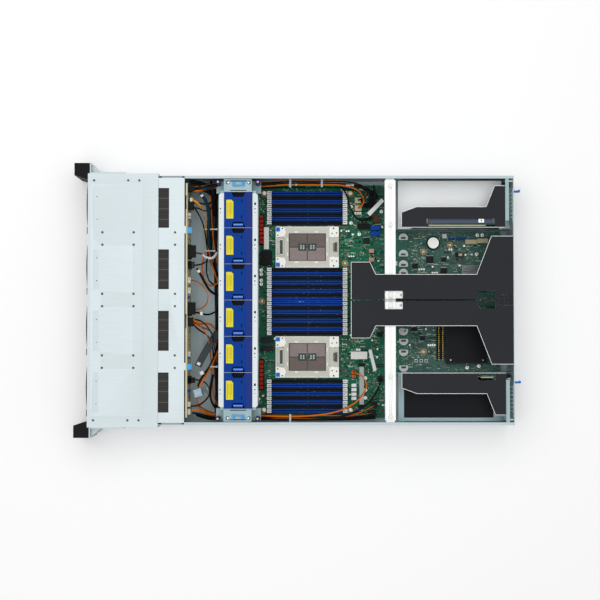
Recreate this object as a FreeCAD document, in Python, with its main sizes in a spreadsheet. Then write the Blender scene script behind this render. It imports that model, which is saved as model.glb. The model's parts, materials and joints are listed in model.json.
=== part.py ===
import FreeCAD, Part
import math
import os
import re
import Sketcher
from FreeCAD import Placement, Rotation, Vector

# The frame: X across the server, Y from its front to its rear, Z up.
# The chassis stands on Z = 0, its front face is Y = 0, and X = 0 is its middle.

sizes = {
    # chassis
    "bodyWidth": "438", "frontWidth": "446", "bodyDepth": "749", "frontDepth": "124",
    "frontLip": "2", "chassisHeight": "87", "emboss": "0.5", "lidThickness": "0.8", "wall": "1.2",
    "rimWidth": "5", "rimThickness": "1.2", "studRadius": "3", "studHead": "1.6",
    "clearance": "0.3",
    # covers
    "ventCoverDepth": "46", "ventCoverWidth": "430", "stripLength": "70", "stripWidth": "10",
    "panelMargin": "19", "windowWidth": "70", "windowLength": "18.6",
    "rivetRadius": "2", "rivetHeight": "0.4",
    # drive bays
    "columnPitch": "107", "rowPitch": "28.1", "trayWidth": "103.2", "trayHeight": "26.8",
    "trayDepth": "165", "bezelDepth": "10", "driveWidth": "101.6", "driveDepth": "147",
    "driveHeight": "26.1", "leverLength": "74", "leverHeight": "14", "leverBow": "3.3",
    "pinRadius": "1", "webThickness": "1.6", "flangeHalf": "14", "cageDepth": "166",
    "ledgeThickness": "0.7", "ledgeWidth": "3.4",
    # backplane
    "backplaneFront": "172", "backplaneThickness": "3", "backplaneWidth": "412", "backplaneDrop": "3",
    # rack ears and their caps
    "earSpan": "482.6", "rackHoleSpan": "465.1", "rackHoleRise": "76.2", "slotLength": "10",
    "slotRadius": "3.4", "earThickness": "2", "earFace": "3.5", "capReach": "23.7", "capInner": "212.6",
    "capTip": "219.7", "gussetDepth": "18", "accessRadius": "4.2", "buttonRadius": "3",
    # fan wall
    "fanFront": "239.6", "fanDepth": "49.6", "fanPitch": "63.6", "fanDrop": "2", "fanCapHeight": "11",
    "boreRadius": "28.8", "gripDepth": "8.9", "hubRadius": "14.5", "bladeThickness": "1.6",
    "bladeDepth": "30", "fanAxis": "38", "railDepth": "9.2",
    "railHalf": "188", "bracketWidth": "22",
    # motherboard
    "boardZ": "7.7", "boardThickness": "2", "boardRear": "735",
    "boardHalf": "210", "boardRearHalf": "126.5", "boardStep": "541", "standoffRadius": "3",
    "guideRadius": "8.4", "guideHeight": "3",
    # memory
    "slotPitch": "7.6", "slotWidth": "6.5", "slotFront": "313.8", "slotDepth": "144.2", "slotHeight": "8.4",
    "latchDepth": "9", "latchHeight": "20", "bankA": "-194.6", "bankB": "-56.6", "bankC": "4.6",
    "bankD": "144",
    # processor sockets
    "socketFront": "328.7", "socketDepth": "114.5", "socketWidth": "75", "socketLeft": "-97.8",
    "socketRight": "100.5", "socketHeight": "7", "socketWindowWidth": "49.5", "socketWindowDepth": "67",
    # cross bar
    "barFront": "522", "barDepth": "19", "barHalf": "211", "barThickness": "3",
    # power supplies and their bays
    "supplyWidth": "73.5", "supplyHeight": "40", "supplyDepth": "185", "supplyLeft": "-203",
    "supplyRight": "139.5", "supplyFloor": "0.5", "tabReach": "18.5", "tabWidth": "2.5",
    "bayWall": "128", "bayTop": "44", "bayFront": "548", "slotRise": "19",
    # risers
    "riserDrop": "0.8", "riserThickness": "1.2", "riserFront": "462.5", "riserGap": "1.5",
    "riserLip": "16",
}

# heights that follow the chassis, each a named drop below its top
heights = {"fanTop": "(chassisHeight - fanDrop)", "riserTop": "(chassisHeight - riserDrop)",
           "backplaneTop": "(chassisHeight - backplaneDrop)"}

doc = FreeCAD.newDocument("rack_server")
sheet = doc.addObject("Spreadsheet::Sheet", "Sizes")
for row, (alias, number) in enumerate(sizes.items(), start=1):
    sheet.set(f"A{row}", alias)
    sheet.set(f"B{row}", number)
    sheet.setAlias(f"B{row}", alias)
doc.recompute()

word = re.compile(r"[A-Za-z]\w*")
nodes = []


def spelled(text, name):
    # an expression with its heights written out and every size given by name(alias)
    whole = word.sub(lambda m: heights.get(m.group(), m.group()), str(text))
    return word.sub(lambda m: name(m.group()) if m.group() in sizes else m.group(), whole)


def bind(thing, prop, text):
    thing.setExpression(prop, spelled(text, lambda alias: "Sizes." + alias))


def value(text):
    return FreeCAD.Units.parseQuantity(spelled(text, lambda alias: repr(float(sheet.get(alias))))).Value


def put(thing, x=0, y=0, z=0):
    for axis, text in (("x", x), ("y", y), ("z", z)):
        if str(text) != "0":
            bind(thing, "Placement.Base." + axis, text)
    return thing


def span(centre, width):
    return f"{centre} - ({width})/2", f"{centre} + ({width})/2"


def block(x, y, z, name="Block"):
    thing = doc.addObject("Part::Box", name)
    bind(thing, "Length", f"({x[1]}) - ({x[0]})")
    bind(thing, "Width", f"({y[1]}) - ({y[0]})")
    bind(thing, "Height", f"({z[1]}) - ({z[0]})")
    return put(thing, x[0], y[0], z[0])


def rod(axis, start, radius, length, name="Rod"):
    thing = doc.addObject("Part::Cylinder", name)
    bind(thing, "Radius", radius)
    bind(thing, "Height", length)
    thing.Placement = Placement(Vector(), Rotation(Vector(0, 0, 1), axis))
    return put(thing, *start)


def prism(plane, outline, low, high, name="Prism"):
    # a padded sketch; XY pads along +Z, XZ along +Y and YZ along +X
    body = doc.addObject("PartDesign::Body", name)
    sketch = body.newObject("Sketcher::SketchObject", name + "Outline")
    support = next(feature for feature in body.Origin.OriginFeatures if feature.Role == plane + "_Plane")
    sketch.AttachmentSupport = [(support, "")]
    sketch.MapMode = "FlatFace"
    corners = [(value(a), value(b)) for a, b in outline]
    count = len(corners)
    for i in range(count):
        ends = [Vector(*corners[j % count], 0) for j in (i, i + 1)]
        sketch.addGeometry(Part.LineSegment(*ends))
    for i in range(count):
        sketch.addConstraint(Sketcher.Constraint("Coincident", i, 2, (i + 1) % count, 1))
    for i, texts in enumerate(outline):
        for kind, text, number in zip(("DistanceX", "DistanceY"), texts, corners[i]):
            if abs(number) < 1e-9:
                axis = -2 if kind == "DistanceX" else -1
                sketch.addConstraint(Sketcher.Constraint("PointOnObject", i, 1, axis))
                continue
            place = sketch.addConstraint(Sketcher.Constraint(kind, -1, 1, i, 1, number))
            bind(sketch, f"Constraints[{place}]", text)
    pad = body.newObject("PartDesign::Pad", name + "Pad")
    pad.Profile = sketch
    bind(pad, "Length", f"({high}) - ({low})")
    pad.Reversed = plane == "XZ"
    sketch.Visibility = False
    put(body, *{"XY": (0, 0, low), "XZ": (0, low, 0), "YZ": (low, 0, 0)}[plane])
    return body


def cut(base, *tools):
    thing = doc.addObject("Part::Cut", "Cut")
    thing.Base = base
    thing.Tool = tools[0] if len(tools) == 1 else group(*tools)
    thing.Refine = True
    return thing


def fuse(*parts):
    thing = doc.addObject("Part::MultiFuse", "Fuse")
    thing.Shapes = list(parts)
    thing.Refine = True
    return thing


def mirror(source):
    thing = doc.addObject("Part::Mirroring", "Mirror")
    thing.Source = source
    thing.Normal = Vector(1, 0, 0)
    return thing


def group(*parts):
    thing = doc.addObject("Part::Compound", "Group")
    thing.Links = list(parts)
    return thing


def copy(source, x=0, y=0, z=0):
    return put(group(source), x, y, z)


def node(label, *parts):
    thing = group(*parts)
    thing.Label = label
    nodes.append(thing)
    return thing


alongX = Vector(1, 0, 0)
alongY = Vector(0, 1, 0)
alongZ = Vector(0, 0, 1)

# Heights and lines that several pieces share.
wallTop = "(chassisHeight - emboss - lidThickness)"
bodyHalf = "(bodyWidth/2)"
frontHalf = "(frontWidth/2)"
trayBottom = "(wall + clearance)"
boardTop = "(boardZ + boardThickness)"
fanRear = "(fanFront + fanDepth)"
boardFront = f"({fanRear} + railDepth + 2*clearance)"
driveRear = "(bezelDepth + 3 + driveDepth)"
boardScrews = [(x, y) for x in (-196, 196) for y in (308.5, 464)]
columns = [f"({k} * columnPitch/2)" for k in (-3, -1, 1, 3)]
rows = [f"({trayBottom} + {k} * rowPitch)" for k in range(3)]


def chassisSide():
    # the right wall: wide round the drives, then stepped in, with a rim along its top
    front = block((f"{frontHalf} - wall", frontHalf), ("0", "frontDepth"), ("wall", wallTop))
    step = block((f"{bodyHalf} - wall", frontHalf), ("frontDepth - wall", "frontDepth"), ("wall", wallTop))
    rear = block((f"{bodyHalf} - wall", bodyHalf), ("frontDepth - wall", "bodyDepth"), ("wall", wallTop))
    rim = block((f"{bodyHalf} - rimWidth", bodyHalf), ("frontDepth + ventCoverDepth", "bodyDepth - wall"),
                (f"{wallTop} - rimThickness", wallTop))
    return fuse(front, step, rear, rim)


def chassisBase():
    floor = fuse(block((f"-{frontHalf}", frontHalf), ("0", "frontDepth"), ("0", "wall")),
                 block(("-capInner + clearance", "capInner - clearance"), ("-frontLip", "0"), ("0", "wall")),
                 block((f"-{bodyHalf}", bodyHalf), ("frontDepth - wall", "bodyDepth"), ("0", "wall")))
    right = chassisSide()
    studs = []
    for y in (180, 295, 341, 430, 560, "bodyDepth - 59"):
        stem = rod(alongX, (bodyHalf, y, "chassisHeight/2"), "studRadius*0.6", "studHead/2")
        head = rod(alongX, (f"{bodyHalf} + studHead/2", y, "chassisHeight/2"), "studRadius", "studHead/2")
        stud = fuse(stem, head)
        studs += [stud, mirror(stud)]
    posts = []
    for x, y in [*boardScrews, (-65, 308.5), (65, 308.5), (-65, 464), (65, 464), (-196, 529), (196, 529)]:
        posts.append(rod(alongZ, (x, y, "wall"), "standoffRadius", "boardZ - wall"))
    for y in ("boardStep + 80", "boardRear - 12"):
        for x in ("-boardRearHalf + 6", "boardRearHalf - 6"):
            posts.append(rod(alongZ, (x, y, "wall"), "standoffRadius", "boardZ - wall"))
    node("chassis_base", floor, right, mirror(right), *studs, *posts)


def frontCover():
    half = frontHalf
    inner = f"{half} - panelMargin"
    plate = block((f"-{half}", half), ("0", "frontDepth"), (wallTop, f"{wallTop} + lidThickness"))
    panelTop = "chassisHeight"
    lidTop = f"{wallTop} + lidThickness"
    panel = block((f"-({inner})", inner), ("5", "97"), (lidTop, panelTop))
    strips = []
    for x in (f"({k} * 54)" for k in (-3, -1, 1, 3)):
        strips.append(block(span(x, "stripLength"), ("10", "10 + stripWidth"),
                            ("chassisHeight - emboss", panelTop)))
    screws = []
    wells = []
    for x in (f"({k} * 54)" for k in (-3, -1, 1, 3)):
        for side in (-20, 20):
            screws.append(rod(alongZ, (f"{x} + {side}", "16", lidTop), "rivetRadius", "emboss"))
    holes = [(f"{side}*210.5", y) for side in (-1, 1) for y in (11, 71, 90.6)]
    holes += [(f"{x} + {side}", y) for x in (-108, 0, 108) for side in (-10.9, 10.9) for y in (26, 81)]
    for x, y in holes:
        onPanel = abs(value(x)) < value(inner)
        if onPanel:
            wells.append(rod(alongZ, (x, y, lidTop), "rivetRadius + 0.4", "emboss + 1"))
        screws.append(rod(alongZ, (x, y, lidTop), "rivetRadius", "emboss" if onPanel else "rivetHeight"))
    node("front_cover", cut(fuse(plate, panel), *strips, *wells), *screws)


def ventCover():
    half = "(ventCoverWidth/2)"
    rear = "(frontDepth + ventCoverDepth)"
    lidTop = f"({wallTop} + lidThickness)"
    front = "(frontDepth + clearance)"
    plate = block((f"-{half}", half), (front, rear), (wallTop, lidTop))
    skirt = block((f"-{half}", half), (f"{rear} - lidThickness", rear), (f"{wallTop} - 9", wallTop))
    gap = block(("-40", "40"), (f"{rear} - 3", f"{rear} + 1"), (f"{wallTop} - 10", f"{wallTop} - 6"))
    tabs = [block((a, b), (f"{rear} - lidThickness", f"{rear} + 3"), (f"{wallTop} - 1.4", lidTop))
            for a, b in (("-130", "-117"), ("110", "123"))]
    windows = [block(span(f"({k} * 54)", "windowWidth"), (f"{front} - 1", f"{front} + windowLength"),
                     (f"{wallTop} - 1", "chassisHeight")) for k in (-3, -1, 1, 3)]
    screws = [rod(alongZ, (f"{x} + {side}", "141.6 + 12", lidTop), "rivetRadius", "rivetHeight")
              for x in (-108, 0, 108) for side in (-10.9, 10.9)]
    node("vent_cover", cut(fuse(plate, skirt, *tabs), gap, *windows), *screws)


def divider(x):
    web = block(span(x, "webThickness"), ("2", "cageDepth"), ("wall", wallTop))
    flange = block(span(x, "2*flangeHalf"), ("2", "cageDepth"), (f"{wallTop} - 0.8", wallTop))
    foot = block(span(x, "webThickness + 1"), ("2", "cageDepth"), ("wall", "wall + 0.2"))
    return [web, flange, foot]


def ledges(x, width):
    return [block(span(x, width), ("12", "cageDepth"),
                  (f"{z} - clearance - ledgeThickness", f"{z} - clearance")) for z in rows[1:]]


def driveCage():
    middle = "(webThickness + 2*ledgeWidth)"
    walls = [fuse(*divider(x), *ledges(x, middle)) for x in ("-columnPitch", "0", "columnPitch")]
    inner = "(2*columnPitch)"
    plate = block((inner, f"{inner} + wall"), ("2", "cageDepth"), ("wall", wallTop))
    flange = block((f"{inner} - 8", f"{inner} + wall"), ("2", "cageDepth"), (f"{wallTop} - 0.8", wallTop))
    side = fuse(plate, flange, *[block((f"{inner} - ledgeWidth - 1", inner), ("12", "cageDepth"),
                (f"{z} - clearance - ledgeThickness", f"{z} - clearance")) for z in rows[1:]])
    spacer = block((f"{inner} + wall", f"{bodyHalf} - wall"), ("130", "cageDepth"),
                   ("wall", wallTop + " - 2"))
    node("drive_cage", *walls, side, mirror(side), spacer, mirror(spacer))


def trayMaster():
    half = "(trayWidth/2)"
    top = "trayHeight"
    middle = "(trayHeight/2)"
    bezel = block((f"-{half}", half), ("0", "bezelDepth"), ("0", top))
    pocket = block(("-49", "-39.4"), ("-1", "4.3"), span(middle, "leverHeight + 2*clearance"))
    bore = rod(alongZ, ("-42.2", "2", f"{middle} - leverHeight/2 - 3"), "pinRadius + 0.1", "leverHeight + 6")
    vents = [block((f"-36 + {k}*9.2", f"-36 + {k}*9.2 + 7.4"), ("-1", "bezelDepth + 1"), (z, f"{z} + 3.2"))
             for k in range(9) for z in ("1.5", "trayHeight - 4.7")]
    vents += [block((f"-36 + {k}*9.2", f"-36 + {k}*9.2 + 7.4"), ("-1", "bezelDepth + 1"), span(middle, "9"))
              for k in range(7)]
    face = cut(cut(bezel, pocket), bore, *vents)
    button = block(("31.5", "43.5"), ("-leverBow + 0.7", "0"), span(middle, "leverHeight"))
    lamps = [block(("46.2", "49.2"), ("-0.4", "0"), (z, f"{z} + 3")) for z in ("6", "17.5")]
    wallWidth = "((trayWidth - driveWidth)/2)"
    rails = [block((f"-{half}", f"-{half} + {wallWidth}"), ("bezelDepth", "trayDepth"), ("0", top)),
             block((f"{half} - {wallWidth}", half), ("bezelDepth", "trayDepth"), ("0", top))]
    strap = block((f"-{half} + {wallWidth}", f"{half} - {wallWidth}"), ("trayDepth - 2", "trayDepth"),
                  ("0", "5"))
    front = "(bezelDepth + 3)"
    drive = block(("-driveWidth/2", "driveWidth/2"), (front, f"{front} + driveDepth"),
                  span(middle, "driveHeight"))
    return group(face, button, *lamps, fuse(*rails, strap), drive)


def leverMaster():
    # a bowed bar with an arm that turns in the bezel's pocket
    half = value("leverHeight/2")
    middle = value("trayHeight/2")
    gap = value("clearance")
    left = -44
    right = left + value("leverLength")
    bow = value("leverBow")
    arc = Part.Arc(Vector(left, -1.6, 0), Vector((left + right)/2, -bow, 0), Vector(right, -1.6, 0)).toShape()
    back = [Vector(right, -1.6, 0), Vector(right, -gap, 0), Vector(-40.4, -gap, 0), Vector(-40.4, 2, 0)]
    turn = Part.Arc(Vector(-40.4, 2, 0), Vector(-42.2, 3.8, 0), Vector(-44, 2, 0)).toShape()
    edges = [arc, *[Part.LineSegment(a, b).toShape() for a, b in zip(back, back[1:])], turn,
             Part.LineSegment(Vector(-44, 2, 0), Vector(left, -1.6, 0)).toShape()]
    bar = Part.Face(Part.Wire(edges)).extrude(Vector(0, 0, 2*half))
    bar.translate(Vector(0, 0, middle - half))
    slots = [Part.makeBox(5.2, 6, 6, Vector(left + 12 + 6.4*k, -5, middle - 3)) for k in range(9)]
    pin = Part.makeCylinder(value("pinRadius"), 2*half + 5, Vector(-42.2, 2, middle - half - 2.5))
    thing = doc.addObject("Part::Feature", "Lever")
    thing.Shape = Part.makeCompound([bar.cut(slots).cut(pin), pin])
    return thing


def driveTrays():
    tray = trayMaster()
    lever = leverMaster()
    number = 0
    for z in rows:
        for x in columns:
            number += 1
            put(node(f"drive_tray_{number}", tray), x, 0, z)
            put(node(f"tray_lever_{number}", lever), x, 0, z)


def backplane():
    half = "(backplaneWidth/2)"
    rear = "(backplaneFront + backplaneThickness)"
    plate = block((f"-{half}", half), ("backplaneFront", rear), ("wall + 1", "backplaneTop"))
    cuts = [block((a, b), ("backplaneFront - 1", f"{rear} + 1"), ("backplaneTop - 7", "backplaneTop + 1"))
            for a, b in (("-184", "-160"), ("25", "49"))]
    cuts += [block(span(f"({x} + 24)", "44"), ("backplaneFront - 1", f"{rear} + 1"),
                   (f"{z} + 8", f"{z} + 19"))
             for x in columns for z in rows]
    sockets = [block(span(f"({x} - 24)", "34"), (f"{driveRear} + clearance", "backplaneFront"),
                     (f"{z} + 6", f"{z} + 11")) for x in columns for z in rows]
    feet = [block((a, b), ("backplaneFront", f"{rear}"), ("wall", "wall + 1"))
            for a, b in ((f"-{half}", f"-{half} + 12"), (f"{half} - 12", half))]
    plugs = []
    for low, high, reach, drop in ((-176, -160, 10, 14), (30, 46, 10, 14), (-202, -191, 8, 10),
                                   (-38, -30, 5, 8),
                                   (-20, -12, 5, 8), (93, 98, 6, 8), (184, 189, 5, 8), (193, 202, 5, 8),
                                   (-98, -73, 7, 10), (-69, -55, 7, 10), (6, 28, 7, 10), (133, 147, 7, 10)):
        plugs.append(block((low, high), (rear, f"{rear} + {reach}"),
                           (f"backplaneTop - 8 - {drop}", "backplaneTop - 8")))
    latches = [block((a, b), (rear, f"{rear} + 8"), ("backplaneTop - 6", "backplaneTop - 1"))
               for a, b in (("-128", "-118"), ("112", "122"))]
    node("backplane", cut(plate, *cuts), *sockets, *feet, *plugs, *latches)


def earBracket():
    half = "(earSpan/2)"
    top = "(chassisHeight - 0.5)"
    flange = block((frontHalf, half), ("earFace", "earFace + earThickness"), ("0.5", top))
    x = "(rackHoleSpan/2)"
    holes = []
    for z in ("chassisHeight/2 - rackHoleRise/2", "chassisHeight/2 + rackHoleRise/2"):
        reach = "(slotLength/2 - slotRadius)"
        holes += [rod(alongY, (f"{x} - {reach}", "earFace - 1", z), "slotRadius", "earThickness + 2"),
                  rod(alongY, (f"{x} + {reach}", "earFace - 1", z), "slotRadius", "earThickness + 2"),
                  block(span(x, f"2*{reach}"), ("earFace - 1", "earFace + earThickness + 1"),
                        span(z, "2*slotRadius"))]
    behind = "(earFace + earThickness)"
    side = block((frontHalf, f"{frontHalf} + earThickness"), (behind, "earFace + 62"), ("0.5", top))
    outline = [(f"{frontHalf} + earThickness", behind), (f"{half} - 1", behind),
               (f"{frontHalf} + earThickness", f"{behind} + gussetDepth")]
    gussets = [prism("XY", outline, z, f"{z} + earThickness", "Gusset")
               for z in ("11", "(chassisHeight - 13)")]
    rivets = [rod(alongX, (f"{frontHalf} + earThickness", y, z), "rivetRadius", "rivetHeight")
              for y in (32, 54) for z in (20, 67)]
    return [cut(flange, fuse(*holes)), side, *gussets, *rivets]


def rackEars():
    right = group(*earBracket())
    node("rack_ears", right, mirror(right))


def capBlank():
    outline = [("earSpan/2", "-capReach"), ("earSpan/2", "earFace"), (f"{frontHalf} + clearance", "earFace"),
               (f"{frontHalf} + clearance", "-clearance"), ("capInner", "-clearance"),
               ("capTip", "-capReach")]
    blank = prism("XY", outline, "clearance", "chassisHeight - clearance", "Cap")
    holes = [rod(alongY, ("rackHoleSpan/2", "-capReach - 1", z), "accessRadius", "capReach + earFace + 2")
             for z in ("chassisHeight/2 - rackHoleRise/2", "chassisHeight/2 + rackHoleRise/2")]
    return cut(blank, *holes)


buttonX = "(rackHoleSpan/2 - 3)"
buttonHeights = {"power_button": "(chassisHeight/2 + 12)", "id_button": "(chassisHeight/2 - 4)"}


def earCaps():
    blank = capBlank()
    bores = [rod(alongY, (buttonX, "-capReach - 1", z), "buttonRadius + clearance", "9.6")
             for z in buttonHeights.values()]
    right = cut(blank, *bores)
    ports = [block(span(f"(-({buttonX}))", "6.4"), ("-capReach - 1", "-capReach + 9"), (z, f"{z} + 13.4"))
             for z in ("30", "48")]
    left = cut(mirror(blank), *ports)
    lamps = [rod(alongY, (buttonX, "-capReach - 0.4", z), "1", "0.4") for z in (24, 28.5, 33)]
    node("ear_caps", right, left, *lamps)
    for label, z in buttonHeights.items():
        node(label, rod(alongY, (buttonX, "-capReach - 0.6", z), "buttonRadius", "7.6"))


def fanWallFrame():
    low = "(fanFront - clearance - railDepth)"
    outline = [("-railHalf", f"{low} + 3"), ("-railHalf + 3", low), ("railHalf - 3", low),
               ("railHalf", f"{low} + 3"),
               ("railHalf", "fanFront - clearance"), ("-railHalf", "fanFront - clearance")]
    front = prism("XY", outline, "wall", "fanTop - 1", "FrontRail")
    back = f"({fanRear} + clearance)"
    outline = [("-railHalf", back), ("railHalf", back), ("railHalf", f"{back} + railDepth - 3"),
               ("railHalf - 3", f"{back} + railDepth"), ("-railHalf + 3", f"{back} + railDepth"),
               ("-railHalf", f"{back} + railDepth - 3")]
    rear = prism("XY", outline, "wall", "fanTop - 1", "RearRail")
    bores = [rod(alongY, (f"({k} * fanPitch/2)", f"{low} - 1", "fanAxis"), "boreRadius - 1",
                 f"{back} + railDepth - {low} + 2") for k in (-5, -3, -1, 1, 3, 5)]
    pads = [block(span(f"({k} * fanPitch/2)", "30"), ("fanFront + 8", f"{fanRear} - 8"),
                  ("wall", "wall + 0.1"))
            for k in (-5, -3, -1, 1, 3, 5)]
    edge = "(railHalf + 3)"
    outside = f"({edge} + bracketWidth)"
    bracket = block((edge, outside), ("fanFront - 1", f"{fanRear} - 1"), ("fanTop - 5", "fanTop - 3"))
    leg = block((edge, f"{edge} + 2"), (f"{low} + 3", f"{back} + railDepth - 3"), ("wall", "fanTop - 5"))
    links = [block(("railHalf", edge), y, ("wall", "fanTop - 5"))
             for y in ((f"{low} + 3", "fanFront - clearance"), (back, f"{back} + railDepth - 3"))]
    outer = block((f"{outside} - 1.5", outside), ("fanFront - 1", f"{fanRear} - 1"), ("fanTop - 5", "fanTop"))
    shelf = block((edge, outside), (f"{low} - 6", f"{back} + railDepth + 5"), ("fanTop - 36", "fanTop - 34"))
    holes = [rod(alongZ, (f"{edge} + 16", y, "fanTop - 6"), "3", "4")
             for y in ("fanFront + 6", f"{fanRear} - 6")]
    end = fuse(cut(bracket, *holes), leg, *links, outer, shelf)
    plungers = [rod(alongZ, (f"{outside} - 5", y, "fanTop - 34"), "4", "34")
                for y in (f"{low} - 1.5", f"{back} + railDepth")]
    node("fan_wall_frame", cut(front, *bores), cut(rear, *[copy(b) for b in bores]), *pads,
         end, mirror(end), *plungers, *[mirror(p) for p in plungers])


def fanMaster():
    half = "(fanPitch/2 - clearance)"
    bottom = "(wall + clearance)"
    capBottom = "(fanTop - fanCapHeight)"
    housing = block((f"-{half}", half), ("fanFront", fanRear), (bottom, capBottom))
    bore = rod(alongY, ("0", "fanFront - 1", "fanAxis"), "boreRadius", "fanDepth + 2")
    bars = [block(("-boreRadius - 1", "boreRadius + 1"), (f"{fanRear} - 4", fanRear), span("fanAxis", "3")),
            block(("-1.5", "1.5"), (f"{fanRear} - 4", fanRear), span("fanAxis", "2*boreRadius + 2")),
            rod(alongY, ("0", f"{fanRear} - 4", "fanAxis"), "hubRadius", "4")]
    frame = fuse(cut(housing, bore), *bars)
    cap = block((f"-{half}", half), ("fanFront", fanRear), (capBottom, "fanTop"))
    # a finger recess at one end, a sprung tab in its hole at the other, and a lower strip behind
    middle = "(fanFront + 24.8)"
    outline = [(f"-{half} - 1", f"{middle} - 12.8"), (f"-{half} + gripDepth", f"{middle} - 8.6"),
               (f"-{half} + gripDepth", f"{middle} + 8.6"), (f"-{half} - 1", f"{middle} + 12.8")]
    grip = prism("XY", outline, "fanTop - 7", "fanTop + 1", "Grip")
    outline = [(f"{half} - 1", f"{middle} - 12.2"), (f"{half} - 1", f"{middle} + 12.2"),
               (f"{half} - 10", f"{middle} + 8.6"), (f"{half} - 10", f"{middle} - 8.6")]
    tabHole = prism("XY", outline, "fanTop - 7", "fanTop + 1", "TabHole")
    strip = block((f"-{half} - 1", f"{half} + 1"), (f"{middle} + 13.2", f"{fanRear} + 1"),
                  ("fanTop - 0.5", "fanTop + 1"))
    tab = block((f"{half} - 8", f"{half} - 2"), (f"{middle} - 9", f"{middle} + 9"),
                ("fanTop - 7", "fanTop - 0.6"))
    return group(frame, cut(cap, grip, tabHole, strip), tab)


def rotorMaster():
    # a hub and seven pitched blades, each blade cut to the hub and to the bore
    front = "(fanFront + 5)"
    depth = f"{fanRear} - 4 - clearance - {front}"
    hub = rod(alongY, ("0", front, "fanAxis"), "hubRadius - 0.5", depth)
    root = rod(alongY, ("0", "fanFront", "fanAxis"), "hubRadius - 0.5", "fanDepth")
    limit = rod(alongY, ("0", "fanFront", "fanAxis"), "boreRadius - 0.5", "fanDepth")
    centre = Vector(0, value(f"(fanFront + {fanRear})/2"), value("fanAxis"))
    blades = []
    for k in range(7):
        blade = doc.addObject("Part::Box", "Blade")
        bind(blade, "Length", "bladeThickness")
        bind(blade, "Width", "bladeDepth")
        bind(blade, "Height", "boreRadius - hubRadius + 2")
        turn = Rotation(alongY, 360*k/7).multiply(Rotation(alongZ, 32))
        low = Vector(-value("bladeThickness")/2, -value("bladeDepth")/2, value("hubRadius") - 2)
        blade.Placement = Placement(centre + turn.multVec(low), turn)
        trimmed = doc.addObject("Part::MultiCommon", "TrimmedBlade")
        trimmed.Shapes = [blade, limit]
        blades.append(cut(trimmed, root))
    return group(hub, *blades)


def fans():
    fan = fanMaster()
    rotor = rotorMaster()
    for number, k in enumerate((-5, -3, -1, 1, 3, 5), start=1):
        put(node(f"fan_module_{number}", fan), f"{k} * fanPitch/2")
        put(node(f"fan_rotor_{number}", rotor), f"{k} * fanPitch/2")
    # a bail over each end bracket locks the fan wall
    edge = "(railHalf + 3)"
    arms = [block((f"{edge} + 10", f"{edge} + 18"), (y, f"{y} + 3"),
                  ("fanTop - 3 + clearance", "fanTop + 0.5"))
            for y in ("(fanFront + 15.5)", f"({fanRear} - 19)")]
    bar = block((f"{edge} + 10", f"{edge} + 12.5"), ("fanFront + 15.5", f"{fanRear} - 16"),
                ("fanTop - 3 + clearance", "fanTop + 0.5"))
    latch = fuse(*arms, bar)
    node("fan_wall_latch_right", latch)
    node("fan_wall_latch_left", mirror(latch))


def boardPlate():
    outline = [("-boardHalf", boardFront), ("boardHalf", boardFront), ("boardHalf", "boardStep"),
               ("boardRearHalf", "boardStep"), ("boardRearHalf", "boardRear"),
               ("-boardRearHalf", "boardRear"),
               ("-boardRearHalf", "boardStep"), ("-boardHalf", "boardStep")]
    return prism("XY", outline, "boardZ", boardTop, "Board")


def memoryMaster():
    rear = "(slotFront + slotDepth)"
    top = f"({boardTop} + slotHeight)"
    body = block(span("0", "slotWidth"), ("slotFront", rear), (boardTop, top))
    groove = block(span("0", "2"), ("slotFront + latchDepth", f"{rear} - latchDepth"),
                   (f"{boardTop} + 2", f"{top} + 1"))
    latches = [block(span("0", "slotWidth - 0.2"), (y, f"{y} + latchDepth - 1"),
                     (top, f"{boardTop} + latchHeight"))
               for y in ("slotFront", f"({rear} - latchDepth + 1)")]
    gaps = [block(span("0", "1.8"), (y, f"{y} + latchDepth"), (f"{top} + 2", f"{boardTop} + latchHeight + 1"))
            for y in ("(slotFront + 3)", f"({rear} - latchDepth - 2)")]
    return group(cut(body, groove), *[cut(latch, gap) for latch, gap in zip(latches, gaps)])


def memorySlots():
    master = memoryMaster()
    banks = ("bankA", "bankB", "bankC", "bankD")
    node("memory_slots", *[copy(master, f"{bank} + {k} * slotPitch") for bank in banks for k in range(8)])


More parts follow.
